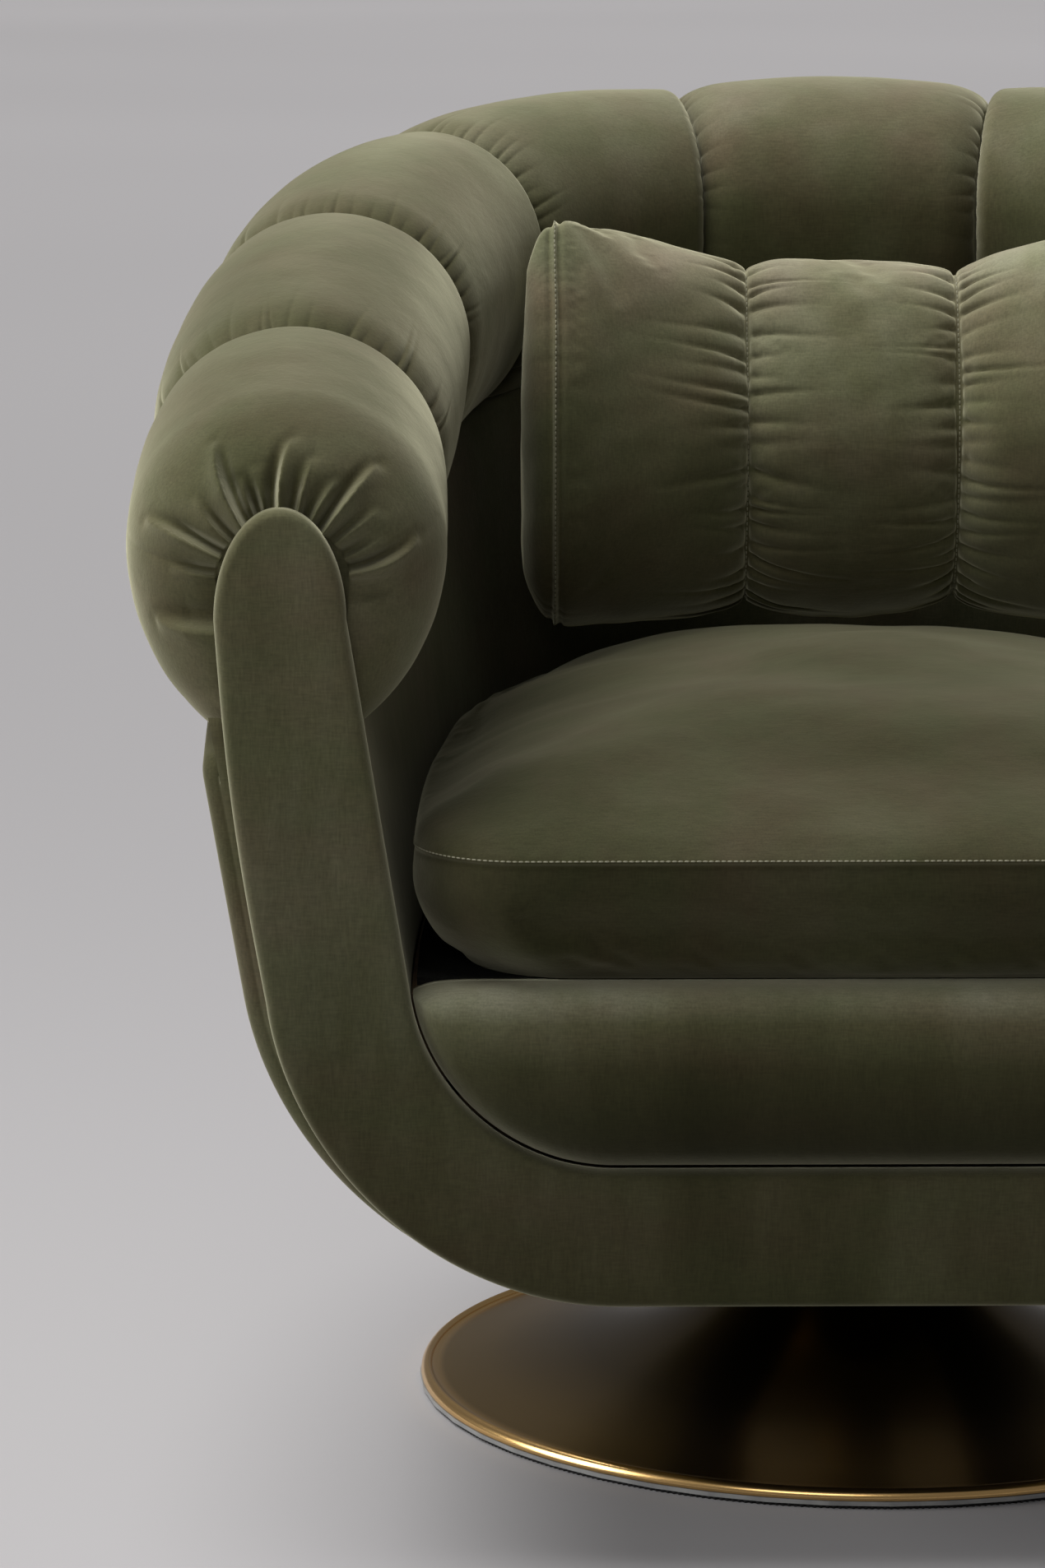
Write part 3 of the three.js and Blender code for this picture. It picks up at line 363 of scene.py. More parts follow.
def on_rim(distance, out, height):
    """Points beside the rim: out is measured outwards from it, square to it."""
    distance, out, height = np.broadcast_arrays(distance, out, height)
    side = np.where(distance > HALF_PATH, -1, 1)
    from_front = np.where(distance > HALF_PATH, 2 * HALF_PATH - distance, distance)
    x, y, along_x, along_y = (
        np.interp(from_front, RIM_DISTANCE, column)
        for column in (*RIM_POINTS.T, *RIM_TANGENT.T))
    overrun = np.minimum(from_front, 0)
    return np.stack([side * (x - along_y * out), y + along_x * out + overrun, height], -1)


def crest(distance):
    from_front = np.minimum(distance, 2 * HALF_PATH - distance) / HALF_PATH
    rise = np.sin(np.clip(from_front, 0, 1) * math.pi / 2)
    return ARM_CREST + (BACK_CREST - ARM_CREST) * rise


def wall_top(distance):
    return crest(distance) - ROLL_CROWN - ROLL_SKIRT - 0.3 * MM


def tub_line(top_out, top, knee_out, end_out, end, count=48, bow=0.0):
    """Side and swept corner of the tub in a plane square to the rim, top first."""
    lean = (top_out - knee_out) / (top - KNEE)
    drop = CORNER_HANDLE_SHARE * (KNEE - end)
    reach = CORNER_HANDLE_SHARE * (knee_out - end_out)
    share = np.linspace(0, 1, count)[:, None]
    rest = 1 - share
    corners = np.array([
        [knee_out, KNEE],
        [knee_out - lean * drop, KNEE - drop],
        [end_out + reach, end],
        [end_out, end],
    ])
    corner = np.hstack([
        rest ** 3, 3 * rest ** 2 * share, 3 * rest * share ** 2, share ** 3]) @ corners
    side_share = np.linspace(0, 1, count, endpoint=False)[:, None]
    side = (1 - side_share) * np.array([top_out, top]) + side_share * corners[0]
    side[:, 0] += bow * np.sin(side_share[:, 0] * math.pi)
    return np.vstack([side, corner])


# Materials

PALER = 1.3


class Nodes:
    """A material's node tree with short ways to add and link nodes."""

    def __init__(self, name):
        self.material = bpy.data.materials.new(name)
        self.material.use_nodes = True
        self.tree = self.material.node_tree
        self.shader = self.tree.nodes["Principled BSDF"]

    def add(self, kind, inputs=None, **settings):
        node = self.tree.nodes.new(kind)
        for key, value in settings.items():
            setattr(node, key, value)
        for key, value in (inputs or {}).items():
            if isinstance(value, bpy.types.NodeSocket):
                self.tree.links.new(value, node.inputs[key])
            else:
                node.inputs[key].default_value = value
        return node

    def link(self, output, key):
        self.tree.links.new(output, self.shader.inputs[key])

    def place(self):
        return self.add("ShaderNodeTexCoord").outputs["Object"]

    def noise(self, vector, scale, detail=2, roughness=0.5):
        return self.add("ShaderNodeTexNoise", {
            "Vector": vector, "Scale": scale, "Detail": detail, "Roughness": roughness,
        }).outputs["Fac"]

    def stretched(self, vector, scale):
        return self.add("ShaderNodeMapping", {"Vector": vector, "Scale": scale}).outputs[0]

    def math(self, operation, first, second=0.5):
        return self.add("ShaderNodeMath", {0: first, 1: second}, operation=operation).outputs[0]

    def ramp(self, factor, stops):
        node = self.add("ShaderNodeValToRGB", {"Fac": factor})
        elements = node.color_ramp.elements
        while len(elements) < len(stops):
            elements.new(0.5)
        for element, (position, color) in zip(elements, stops):
            element.position = position
            element.color = (*color, 1)
        return node.outputs["Color"]

    def mix(self, factor, first, second):
        node = self.add("ShaderNodeMix", data_type="RGBA")
        for socket, value in zip((node.inputs[0], node.inputs[6], node.inputs[7]),
                                 (factor, first, second)):
            if isinstance(value, bpy.types.NodeSocket):
                self.tree.links.new(value, socket)
            else:
                socket.default_value = value
        return node.outputs[2]

    def multiply(self, first, second):
        node = self.add("ShaderNodeMix", data_type="RGBA", blend_type="MULTIPLY")
        node.inputs[0].default_value = 1
        self.tree.links.new(first, node.inputs[6])
        self.tree.links.new(second, node.inputs[7])
        return node.outputs[2]

    def painted_light_tone(self, color, value, levels):
        """The colour with the tone that levels gives for the value, as pairs, lowest first.

        A bright tone is paler and a dark one deeper in colour. It paints light and shade into the colour.
        """
        low, high = levels[0][0], levels[-1][0]
        share = self.add("ShaderNodeMapRange", {"Value": value, "From Min": low, "From Max": high})
        stops = [((level - low) / (high - low), (tone, tone, tone ** PALER)) for level, tone in levels]
        return self.multiply(color, self.ramp(share.outputs[0], stops))

    def bump(self, height, distance, strength=1.0):
        node = self.add("ShaderNodeBump", {
            "Height": height, "Distance": distance, "Strength": strength})
        self.link(node.outputs[0], "Normal")

    def set(self, **values):
        for key, value in values.items():
            self.shader.inputs[key.replace("_", " ")].default_value = value
        return self


def velvet(name, brushed=(1, 1, 1), tone_and_painted_light=1.0, sheen=0.85, painted_light_by_height=None):
    """Olive pile velvet. brushed stretches the marks that hands leave in the pile.

    The list of heights, lowest first, gives each height a tone painted into the colour: painted light and shade.
    """
    nodes = Nodes(name)
    place = nodes.place()
    marks = nodes.noise(nodes.stretched(place, brushed), 8, detail=4, roughness=0.6)
    patches = nodes.noise(nodes.stretched(place, brushed[::-1]), 11, detail=3, roughness=0.6)
    upright = nodes.noise(nodes.stretched(place, (900, 900, 140)), 1, detail=1)
    level = nodes.noise(nodes.stretched(place, (140, 900, 900)), 1, detail=1)

    # The shade factor is partly the velvet's own colour level and partly painted light and shade for this part.
    def with_painted_light(stops):
        return [(at, tuple(tone_and_painted_light * channel for channel in color)) for at, color in stops]

    green = nodes.ramp(marks, with_painted_light([
        (0.3, (0.050, 0.052, 0.022)), (0.5, (0.071, 0.071, 0.033)), (0.7, (0.100, 0.100, 0.054))]))
    brown = nodes.ramp(marks, with_painted_light([
        (0.3, (0.060, 0.047, 0.023)), (0.5, (0.080, 0.064, 0.035)), (0.7, (0.108, 0.092, 0.056))]))
    pile = nodes.mix(nodes.ramp(patches, [(0.38, (0, 0, 0)), (0.72, (1, 1, 1))]), green, brown)
    half_upright = nodes.math("MULTIPLY", upright, 0.5)
    lines = nodes.add("ShaderNodeMath", {0: level, 1: 0.5, 2: half_upright}, operation="MULTIPLY_ADD")
    fine = nodes.ramp(lines.outputs[0], [(0.3, (0.7, 0.7, 0.7)), (0.7, (1.0, 1.0, 1.0))])
    tone = nodes.multiply(pile, fine)
    # Tones by height are painted light and shade: lighter where light falls, darker where shade falls.
    if painted_light_by_height:
        tone = nodes.painted_light_tone(tone, nodes.add("ShaderNodeSeparateXYZ", {0: place}).outputs[2], painted_light_by_height)
    nodes.link(tone, "Base Color")
    rough = nodes.ramp(marks, [(0.3, (0.95, 0.95, 0.95)), (0.7, (0.8, 0.8, 0.8))])
    nodes.link(rough, "Roughness")
    crushed = nodes.noise(nodes.stretched(place, brushed), 42, detail=3, roughness=0.6)
    surface = nodes.add("ShaderNodeMath", {0: crushed, 1: 5.0, 2: lines.outputs[0]}, operation="MULTIPLY_ADD")
    nodes.bump(surface.outputs[0], 0.2 * MM, 0.6)
    nodes.set(Sheen_Weight=sheen, Sheen_Roughness=0.45, Sheen_Tint=(0.88, 0.85, 0.60, 1),
              Specular_IOR_Level=0.06)
    return nodes.material


def brushed_metal(name, color, roughness, anisotropic, painted_reflection_by_radius=None):
    """Metal turned and brushed round the vertical axis.

    The list of distances from the axis, nearest first, gives each a tone: a painted dark reflection towards the middle
    and a painted highlight near the rim.
    """
    nodes = Nodes(name)
    place = nodes.place()
    parts = nodes.add("ShaderNodeSeparateXYZ", {0: place})
    square = nodes.math("ADD", nodes.math("POWER", parts.outputs[0], 2), nodes.math("POWER", parts.outputs[1], 2))
    radius = nodes.math("SQRT", square)
    rings = nodes.add("ShaderNodeCombineXYZ", {0: radius, 1: parts.outputs[2]})
    scratches = nodes.noise(rings.outputs[0], 1400, detail=2)
    cloud = nodes.noise(place, 6, detail=3)
    tint = nodes.mix(nodes.ramp(cloud, [(0.35, (0, 0, 0)), (0.7, (1, 1, 1))]), (*color, 1),
                     (*[channel * 0.86 for channel in color], 1))
    # Tones by distance from the axis: painted reflection and painted highlight.
    if painted_reflection_by_radius:
        tint = nodes.painted_light_tone(tint, radius, painted_reflection_by_radius)
    nodes.link(tint, "Base Color")
    rough = nodes.add("ShaderNodeMapRange", {"Value": scratches, "To Min": roughness * 0.8, "To Max": roughness * 1.25})
    nodes.link(rough.outputs[0], "Roughness")
    nodes.bump(scratches, 0.03 * MM, 0.25)
    tangent = nodes.add("ShaderNodeTangent", direction_type="RADIAL", axis="Z")
    nodes.link(tangent.outputs[0], "Tangent")
    nodes.set(Metallic=1.0, Anisotropic=anisotropic)
    return nodes.material


def plain(name, dark, light, roughness, scale, metallic=0.0, grain=(1, 1, 1), bump=0.1 * MM, shine=0.5):
    """A two-tone material with a fine uneven surface."""
    nodes = Nodes(name)
    marks = nodes.noise(nodes.stretched(nodes.place(), grain), scale, detail=4)
    nodes.link(nodes.ramp(marks, [(0.35, dark), (0.65, light)]), "Base Color")
    rough = nodes.add("ShaderNodeMapRange", {"Value": marks, "To Min": roughness * 0.85, "To Max": roughness * 1.15})
    nodes.link(rough.outputs[0], "Roughness")
    nodes.bump(marks, bump, 0.4)
    nodes.set(Metallic=metallic, Specular_IOR_Level=shine)
    return nodes.material


# One olive velvet in copies for each part. Their shade factors and tones by height are painted light and shade: the
# roll darker at mid height and lighter at its crests, the facing and border lighter at the top and darker below, the
# cushion darker and darkest on its boxing, the pillow lighter and lightest at its top, the lining darker low down.
velvet_roll = velvet("velvet_roll", (1, 1, 1), 1.15, sheen=0.7, painted_light_by_height=[
    (0.5, 1.15), (0.6, 1.05), (0.67, 0.72), (0.73, 0.78), (0.8, 1.5)])
velvet_facing = velvet("velvet_facing", (1.6, 1, 0.5), 1.1, sheen=0.6, painted_light_by_height=[(0.16, 0.45), (0.6, 1.45)])
velvet_border = velvet("velvet_border", (1.6, 1, 0.5), 1.1, sheen=0.6, painted_light_by_height=[
    (0.245, 0.12), (0.3, 0.45), (0.325, 0.95), (0.344, 2.3)])
velvet_cushion = velvet("velvet_cushion", (0.7, 1, 1.4), 0.85, sheen=0.45, painted_light_by_height=[
    (0.345, 0.5), (0.41, 0.7), (0.43, 0.85), (0.49, 0.8)])
velvet_pillow = velvet("velvet_pillow", (1.2, 1, 0.8), 1.4, sheen=1.25, painted_light_by_height=[
    (0.48, 0.6), (0.62, 1.1), (0.68, 1.5), (0.715, 2.3)])
velvet_wall = velvet("velvet_wall", (1, 1, 0.6), 1.0, sheen=0.4)
velvet_lining = velvet("velvet_lining", (1, 1, 0.6), 1.1, sheen=0.35, painted_light_by_height=[
    (0.36, 0.2), (0.42, 0.6), (0.46, 1.3), (0.5, 1.7), (0.56, 1.9)])
# The brass tone by radius is painted: a dark reflection over the cone's middle and a bright highlight on the rim's
# bead.
brass = brushed_metal("brass", (0.42, 0.27, 0.085), 0.2, 0.5, painted_reflection_by_radius=[
    (0.3 * FOOT_RADIUS, 0.12), (0.62 * FOOT_RADIUS, 0.3), (0.85 * FOOT_RADIUS, 0.85),
    (FOOT_RADIUS - 15 * MM, 0.95), (FOOT_RADIUS - 8 * MM, 2.2)])
steel = brushed_metal("steel", (0.52, 0.52, 0.51), 0.35, 0.2)
# The timber is stained dark so that slivers of frame seen between the covers read as shadow: painted shade.
timber = plain("timber", (0.13, 0.082, 0.043), (0.22, 0.145, 0.08), 0.7, 22, grain=(1, 1, 8))
black_cloth = plain("black_cloth", (0.006, 0.006, 0.005), (0.016, 0.016, 0.014), 0.95, 700, shine=0.1)
webbing = plain("webbing", (0.03, 0.03, 0.034), (0.07, 0.07, 0.075), 0.9, 500, grain=(1, 4, 1))
black_rubber = plain("black_rubber", (0.006, 0.006, 0.006), (0.018, 0.018, 0.018), 0.7, 300)
clear_plastic = plain("clear_plastic", (0.24, 0.24, 0.235), (0.33, 0.33, 0.32), 0.4, 60)
thread = plain("thread", (0.20, 0.19, 0.125), (0.30, 0.29, 0.20), 0.6, 900)
nylon = plain("nylon", (0.66, 0.64, 0.58), (0.78, 0.76, 0.70), 0.5, 90)

SLOT_MATERIALS = {
    "velvet": velvet_roll,
    "brass": brass,
    "steel": steel,
    "timber": timber,
    "black_cloth": black_cloth,
    "webbing": webbing,
    "black_rubber": black_rubber,
    "clear_plastic": clear_plastic,
    "nylon": nylon,
}

for part in frame["record"]["subparts"]:
    node = frame["nodes"][part["node"]]
    node.data.materials.clear()
    node.data.materials.append(SLOT_MATERIALS[part["material_slot"]])


def finish(made, node, body, material):
    made.data.materials.clear()
    made.data.materials.append(material)
    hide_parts(node)
    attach(made, body)
    return made


def sew(name, line, outside, body):
    made = stitched(name, line, outside, STITCH * 0.78, STITCH, STITCH_WIDTH)
    made.data.materials.append(thread)
    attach(made, body)


# Roll channels

# Tucks of the front puff: degrees round the section, bend, length, height of the fold
# (below zero where the fold opens the other way)
NOSE_TUCKS = [
    (-18, 0.0, 40 * MM, -5.0 * MM),
    (24, -0.10, 50 * MM, -5.2 * MM),
    (57, 0.10, 50 * MM, -6.2 * MM),
    (87, 0.12, 43 * MM, 6.4 * MM),
    (126, 0.10, 47 * MM, 6.4 * MM),
    (172, -0.10, 44 * MM, 5.4 * MM),
    (4, 0.04, 26 * MM, -2.6 * MM),
    (40, 0.06, 30 * MM, -3.2 * MM),
    (68, 0.02, 27 * MM, -3.4 * MM),
    (77, -0.04, 30 * MM, 3.0 * MM),
    (101, 0.05, 35 * MM, 4.2 * MM),
    (113, 0.08, 28 * MM, 3.6 * MM),
    (141, 0.06, 30 * MM, 3.4 * MM),
    (157, 0.0, 24 * MM, 2.6 * MM),
    (188, -0.05, 26 * MM, 2.4 * MM),
]


def roll_profile(inset, crown_count=300, skirt_count=70, bottom_count=10):
    """Section of the roll below its crest, one row for each inset."""
    inset = inset[:, None]
    taper = math.sqrt(1 - (ROLL_SKIRT_HALF_WIDTH / ROLL_HALF_WIDTH) ** 2)
    angle = np.linspace(0, math.pi, crown_count)
    share = np.linspace(0, 1, skirt_count)[1:]
    skirt_half = ROLL_HALF_WIDTH * np.sqrt(1 - (share * taper) ** 2)
    core = np.minimum(ROLL_HALF_WIDTH - inset, NOSE_CORE)
    half_crown = np.maximum(ROLL_HALF_WIDTH - inset, core)
    half_skirt = np.maximum(skirt_half - inset, np.minimum(core, skirt_half - 4 * MM))
    crown_u = half_crown * np.cos(angle)
    crown_v = -ROLL_CROWN + (ROLL_CROWN - inset) * np.sin(angle)
    skirt_v = np.broadcast_to(-ROLL_CROWN - share * ROLL_SKIRT, half_skirt.shape)
    across = np.linspace(-1, 1, bottom_count + 2)[1:-1]
    bottom_u = half_skirt[:, -1:] * across
    bottom_v = np.broadcast_to(-ROLL_CROWN - ROLL_SKIRT, bottom_u.shape)
    u = np.hstack([crown_u, -half_skirt, bottom_u, half_skirt[:, ::-1]])
    v = np.hstack([crown_v, skirt_v, bottom_v, skirt_v[:, ::-1]])
    angles = np.concatenate([
        angle,
        math.pi + share * 1.1,
        np.full(bottom_count, math.pi * 1.5),
        -share[::-1] * 1.1,
    ])
    return u, v, angles


def roll_channel(start, end, seed, nose=False, gathered_end=False):
    """Rings of one channel. Its start is gathered or a nose, its end smooth or gathered."""
    length = end - start
    if nose:
        nose_steps = NOSE_LENGTH * (1 - np.cos(np.linspace(0, math.pi / 2, 60)))[:-1]
        rest = NOSE_LENGTH + (length - NOSE_LENGTH) * np.sin(np.linspace(0, math.pi / 2, 80))
        along = np.concatenate([nose_steps, rest])
    else:
        along = length * (1 - np.cos(np.linspace(0, math.pi, 150))) / 2
    to_end = length - along
    to_start = along
    middle = np.clip(2 * along / length - 1, 0 if nose else -1, 1)
    inset = SEAM_SWELL * np.abs(middle) ** 2.2
    if gathered_end:
        inset = inset + edge_drop(to_end, GATHERED_EDGE, GATHERED_EDGE_DEPTH)
    else:
        inset = inset + edge_drop(to_end, SMOOTH_EDGE, SMOOTH_EDGE_DEPTH)
    if nose:
        back = np.clip(1 - along / NOSE_LENGTH, 0, 1)
        inset = inset + NOSE_INSET * (1 - np.sqrt(1 - back ** 2))
    else:
        inset = inset + edge_drop(to_start, GATHERED_EDGE, GATHERED_EDGE_DEPTH)
    u, v, angles = roll_profile(inset)
    distance = (start + along)[:, None]
    rings = on_rim(distance, u, crest(distance) + v)
    normal = grid_normals(rings)
    shown = ~np.isclose(angles, math.pi * 1.5)
    around = np.concatenate([[0], np.cumsum(np.linalg.norm(
        np.diff(rings[len(along) // 2], axis=0), axis=-1))])
    around = np.broadcast_to(around, inset.shape + around.shape)
    lift = 0.4 * MM * ripple(rings, 130 * MM, seed) + 0.15 * MM * ripple(rings, 40 * MM, seed + 1)
    to_end = np.broadcast_to(to_end[:, None], around.shape)
    to_start = np.broadcast_to(to_start[:, None], around.shape)
    depth, spacing, reach = (1.4 * MM, 17 * MM, 12 * MM) if gathered_end else (2.6 * MM, 11 * MM, 22 * MM)
    if gathered_end:
        lift = lift + depth * gathers(around, to_end, spacing, reach, seed + 2)
    else:
        lift = lift + 0.7 * MM * gathers(around, to_end, 13 * MM, 7 * MM, seed + 2)
    if nose:
        lift = lift + nose_tucks(angles, along, rings)
    else:
        lift = lift + depth * gathers(around, to_start, spacing, reach, seed + 3)
    lift = lift * shown
    return rings + normal * lift[..., None]


def nose_tucks(angles, along, rings):
    """Knife pleats that gather the front puff round the top of the facing."""
    face = NOSE_LENGTH * 1.35
    back = np.clip(1 - along / NOSE_LENGTH, 0, 1)
    path = face * np.arccos(back) / (math.pi / 2)
    path = np.where(along > NOSE_LENGTH, face + along - NOSE_LENGTH, path)[:, None]
    radius = 38 * MM + 52 * MM * np.clip(path / face, 0, 1)
    lift = np.zeros(rings.shape[:2])
    for degrees, lean, length, height in NOSE_TUCKS:
        bend = lean * (path / length) ** 2
        side = 1 if height > 0 else -1
        across = (angles[None, :] - math.radians(degrees) - bend) * radius * side
        fade = np.clip((length - path) / (0.55 * length), 0, 1) ** 1.05
        roll_over = np.where(across > 0, np.exp(-(np.maximum(across, 0) / (6.0 * MM)) ** 1.6),
                             np.exp(-(across / (1.7 * MM)) ** 2))
        undercut = np.exp(-((across + 4.0 * MM) / (2.8 * MM)) ** 2)
        hollow = np.where(across < 0, np.exp(-((across + 3.0 * MM) / (12 * MM)) ** 2), 0)
        lift += 1.05 * abs(height) * fade * (roll_over - 0.7 * undercut - 0.5 * hollow)
        hook = np.exp(-((path - length) / (3.5 * MM)) ** 2 - (across / (4 * MM)) ** 2)
        lift -= 0.15 * abs(height) * hook
    turn = np.broadcast_to(angles * 46 * MM, lift.shape)
    path = np.broadcast_to(path, lift.shape)
    return lift + 2.6 * MM * gathers(turn, path, 15 * MM, 30 * MM, 41)


FIRST_SEAM = HALF_PATH - CHANNEL * BACK_CHANNELS
CHANNEL_NAMES = ["arm_front", "arm_rear", "shoulder", "corner"]

for count, channel_name in enumerate(CHANNEL_NAMES):
    start = 0 if count == 0 else FIRST_SEAM + (count - 1) * CHANNEL + SEAM_GAP / 2
    end = FIRST_SEAM + count * CHANNEL - SEAM_GAP / 2
    for side, seed in (("left", 100), ("right", 200)):
        rings = roll_channel(start, end, seed + 10 * count, nose=count == 0)
        if side == "right":
            rings = mirrored_rings(rings)
        made = outward(skin(f"roll_{channel_name}_{side}_cover", rings))
        finish(made, f"roll_{channel_name}_{side}", "tub", velvet_roll)

half_centre = (CHANNEL - SEAM_GAP) / 2
rings = roll_channel(HALF_PATH - half_centre, HALF_PATH + half_centre, 300, gathered_end=True)
made = outward(skin("roll_back_centre_cover", rings))
finish(made, "roll_back_centre", "tub", velvet_roll)


# Outer shell and inner lining

def swept(name, section_at, stations):
    rings = np.array([on_rim(np.full(len(section), distance), section[:, 0], section[:, 1])
                      for distance in stations for section in [section_at(distance)]])
    return outward(skin(name, rings))


def shell_section(distance):
    """The shell's closed section. In front of the rim it is the cloth wrapped on to the frame."""
    from_front = min(distance, 2 * HALF_PATH - distance)
    near = np.clip(1 - from_front / SHELL_LIP, 0, 1)
    fold = SHELL_LIP * (1 - math.sqrt(1 - near ** 2))
    wrap = SHELL_WRAP if from_front < 0 else 0
    top = float(wall_top(distance))
    top_out = SHELL_TOP_OUT
    if from_front < 0:
        top_out += SHELL_TONGUE * (SHELL_TOP_OUT - SHELL_KNEE_OUT) / (top - KNEE)
        top += SHELL_TONGUE
    outer = tub_line(top_out - fold, top, SHELL_KNEE_OUT - fold, -UNDER_SWEEP, UNDERSIDE + fold)
    if from_front >= 0:
        outer[:, 0] -= edge_drop(top - outer[:, 1], SHELL_TOP_ROUND, SHELL_TOP_DRAW)
    inner = tub_line(top_out - SHELL_THICKNESS - wrap, top,
                     SHELL_KNEE_OUT - SHELL_THICKNESS - wrap, -UNDER_SWEEP,
                     UNDERSIDE + SHELL_THICKNESS + wrap)
    return np.vstack([outer, inner[::-1]])


def lining_section(distance):
    top = float(wall_top(distance))
    share = np.linspace(0, 1, 40)
    bottom = DECK - 9.6 * MM
    front = np.stack([-LINING_TOP_IN - (LINING_BOTTOM_IN - LINING_TOP_IN) * share,
                      top - (top - bottom) * share], 1)
    back = front[::-1] + np.array([LINING_THICKNESS, 0])
    return np.vstack([front, back])


edge_steps = SHELL_LIP * (1 - np.cos(np.linspace(0, math.pi / 2, 12)))
left_stations = np.concatenate([edge_steps, np.linspace(edge_steps[-1], HALF_PATH, 110)[1:]])
wall_stations = np.concatenate([left_stations, (2 * HALF_PATH - left_stations[:-1])[::-1]])
wrapped = np.array([-0.22, -0.06]) * MM
shell_stations = np.concatenate([wrapped, wall_stations, 2 * HALF_PATH - wrapped[::-1]])
shell = swept("outer_shell_cover", shell_section, shell_stations)
finish(shell, "outer_shell", "tub", velvet_wall)
finish(swept("inner_lining_cover", lining_section, wall_stations), "inner_lining", "tub", velvet_lining)


# Front facing

def dense(line, count):
    """The line's points again, evenly spaced along it."""
    line = np.asarray(line)
    steps = np.concatenate([[0], np.cumsum(np.linalg.norm(np.diff(line, axis=0), axis=1))])
    at = np.linspace(0, steps[-1], count)
    return np.stack([np.interp(at, steps, line[:, axis]) for axis in range(2)], 1)


def facing_lines():
    """Matching points of the facing's outer and inner edges, over the left half, in x and z."""
    half = (FACING_SPRING_OUT + FACING_SPRING_IN) / 2
    centre = (FACING_SPRING_OUT - FACING_SPRING_IN) / 2
    angle = np.linspace(math.pi / 2, 0, 30)
    outer_arch = np.stack([centre + half * np.cos(angle), FACING_SPRING + FACING_ARCH * np.sin(angle)], 1)
    inner_arch = np.stack([centre - half * np.cos(angle), outer_arch[:, 1]], 1)
    outer = tub_line(FACING_SPRING_OUT, FACING_SPRING, FACING_KNEE_OUT, -UNDER_SWEEP, UNDERSIDE,
                     bow=FACING_BOW)
    inner = tub_line(-FACING_SPRING_IN, FACING_SPRING, -FACING_KNEE_IN,
                     -UNDER_SWEEP + BAND_SWEEP_LESS, UNDERSIDE + BAND_HEIGHT)
    lines = []
    for arch, line in ((outer_arch, outer), (inner_arch, inner)):
        line = np.vstack([arch[:-1], line])
        line = np.stack([-(RIM_HALF_WIDTH + line[:, 0]), line[:, 1]], 1)
        flat = np.stack([np.linspace(line[-1, 0], 0, 60)[1:], np.full(59, line[-1, 1])], 1)
        lines.append(np.vstack([line, flat]))
    return lines


def edge_distance(points, outline):
    """Distance from each of the points to a closed outline, both in x and z."""
    starts, ends = outline, np.roll(outline, -1, 0)
    along = ends - starts
    length = np.maximum((along ** 2).sum(1), 1e-12)
    best = np.full(len(points), np.inf)
    for first in range(0, len(points), 2000):
        block = points[first:first + 2000]
        offset = block[:, None] - starts
        share = np.clip((offset * along).sum(-1) / length, 0, 1)
        away = np.linalg.norm(offset - share[..., None] * along, axis=-1)
        best[first:first + 2000] = away.min(1)
    return best


def padded_face(name, left, right, front, back, reach, depth, seed):
    """A pad between two matching lines in x and z, which drops to its edges in steps of reach and depth."""
    outline = np.vstack([left, right[::-1]])
    share = np.concatenate([
        np.linspace(0, 0.12, 9), np.linspace(0.12, 0.88, 22)[1:], np.linspace(0.88, 1, 9)[1:]])
    face = left[:, None] * (1 - share[:, None]) + right[:, None] * share[:, None]
    away = edge_distance(face.reshape(-1, 2), outline).reshape(face.shape[:2])
    drop = sum(edge_drop(away, *size) for size in zip(reach, depth))
    rings = np.stack([face[..., 0], front + drop, face[..., 1]], -1)
    rings[..., 1] += 0.5 * MM * ripple(rings, 120 * MM, seed) * smooth(away / (30 * MM))
    edge = front + sum(depth)
    rims = []
    for line in (left, right):
        deep = [edge, (edge + back) / 2, back]
        rims.append(np.stack([np.stack([line[:, 0], np.full(len(line), y), line[:, 1]], -1) for y in deep], 1))
    closed = np.concatenate([rims[0][:, ::-1], rings[:, 1:-1], rims[1]], 1)
    return outward(skin(name, closed))


outer_line, inner_line = facing_lines()
flip_x = np.array([-1, 1])
outer_line = np.vstack([outer_line, outer_line[-2::-1] * flip_x])
inner_line = np.vstack([inner_line, inner_line[-2::-1] * flip_x])
facing = padded_face("front_facing_cover", outer_line, inner_line,
                     FACING_FRONT, FACING_FRONT + FACING_THICKNESS,
                     (5 * MM, 26 * MM), (5 * MM, 2.5 * MM), 11)
finish(facing, "front_facing", "tub", velvet_facing)


# Border pad under the seat cushion

def border_lines():
    left = tub_line(-FACING_SPRING_IN - 1 * MM, FACING_SPRING, -FACING_KNEE_IN - 1 * MM,
                    -UNDER_SWEEP + BAND_SWEEP_LESS, UNDERSIDE + BAND_HEIGHT + 1 * MM, 64)
    left = np.stack([-(RIM_HALF_WIDTH + left[:, 0]), left[:, 1]], 1)
    top = DECK - 1 * MM
    left = left[left[:, 1] < top - 5 * MM]
    columns = np.concatenate([left[:, 0], np.linspace(left[-1, 0], 0, 60)[1:]])
    low = np.concatenate([left[:, 1], np.full(59, left[-1, 1])])
    high = top - 6 * MM * np.exp(-(columns - columns[0]) / (9 * MM))
    low = np.stack([columns, low], 1)
    high = np.stack([columns, high], 1)
    return [np.vstack([line, line[-2::-1] * flip_x]) for line in (low, high)]


low_line, high_line = border_lines()
border = padded_face("border_pad_cover", low_line, high_line, BORDER_FRONT, -377.7 * MM,
                     (13 * MM, 52 * MM), (9 * MM, 19 * MM), 12)
finish(border, "border_pad", "tub", velvet_border)


# Seat cushion

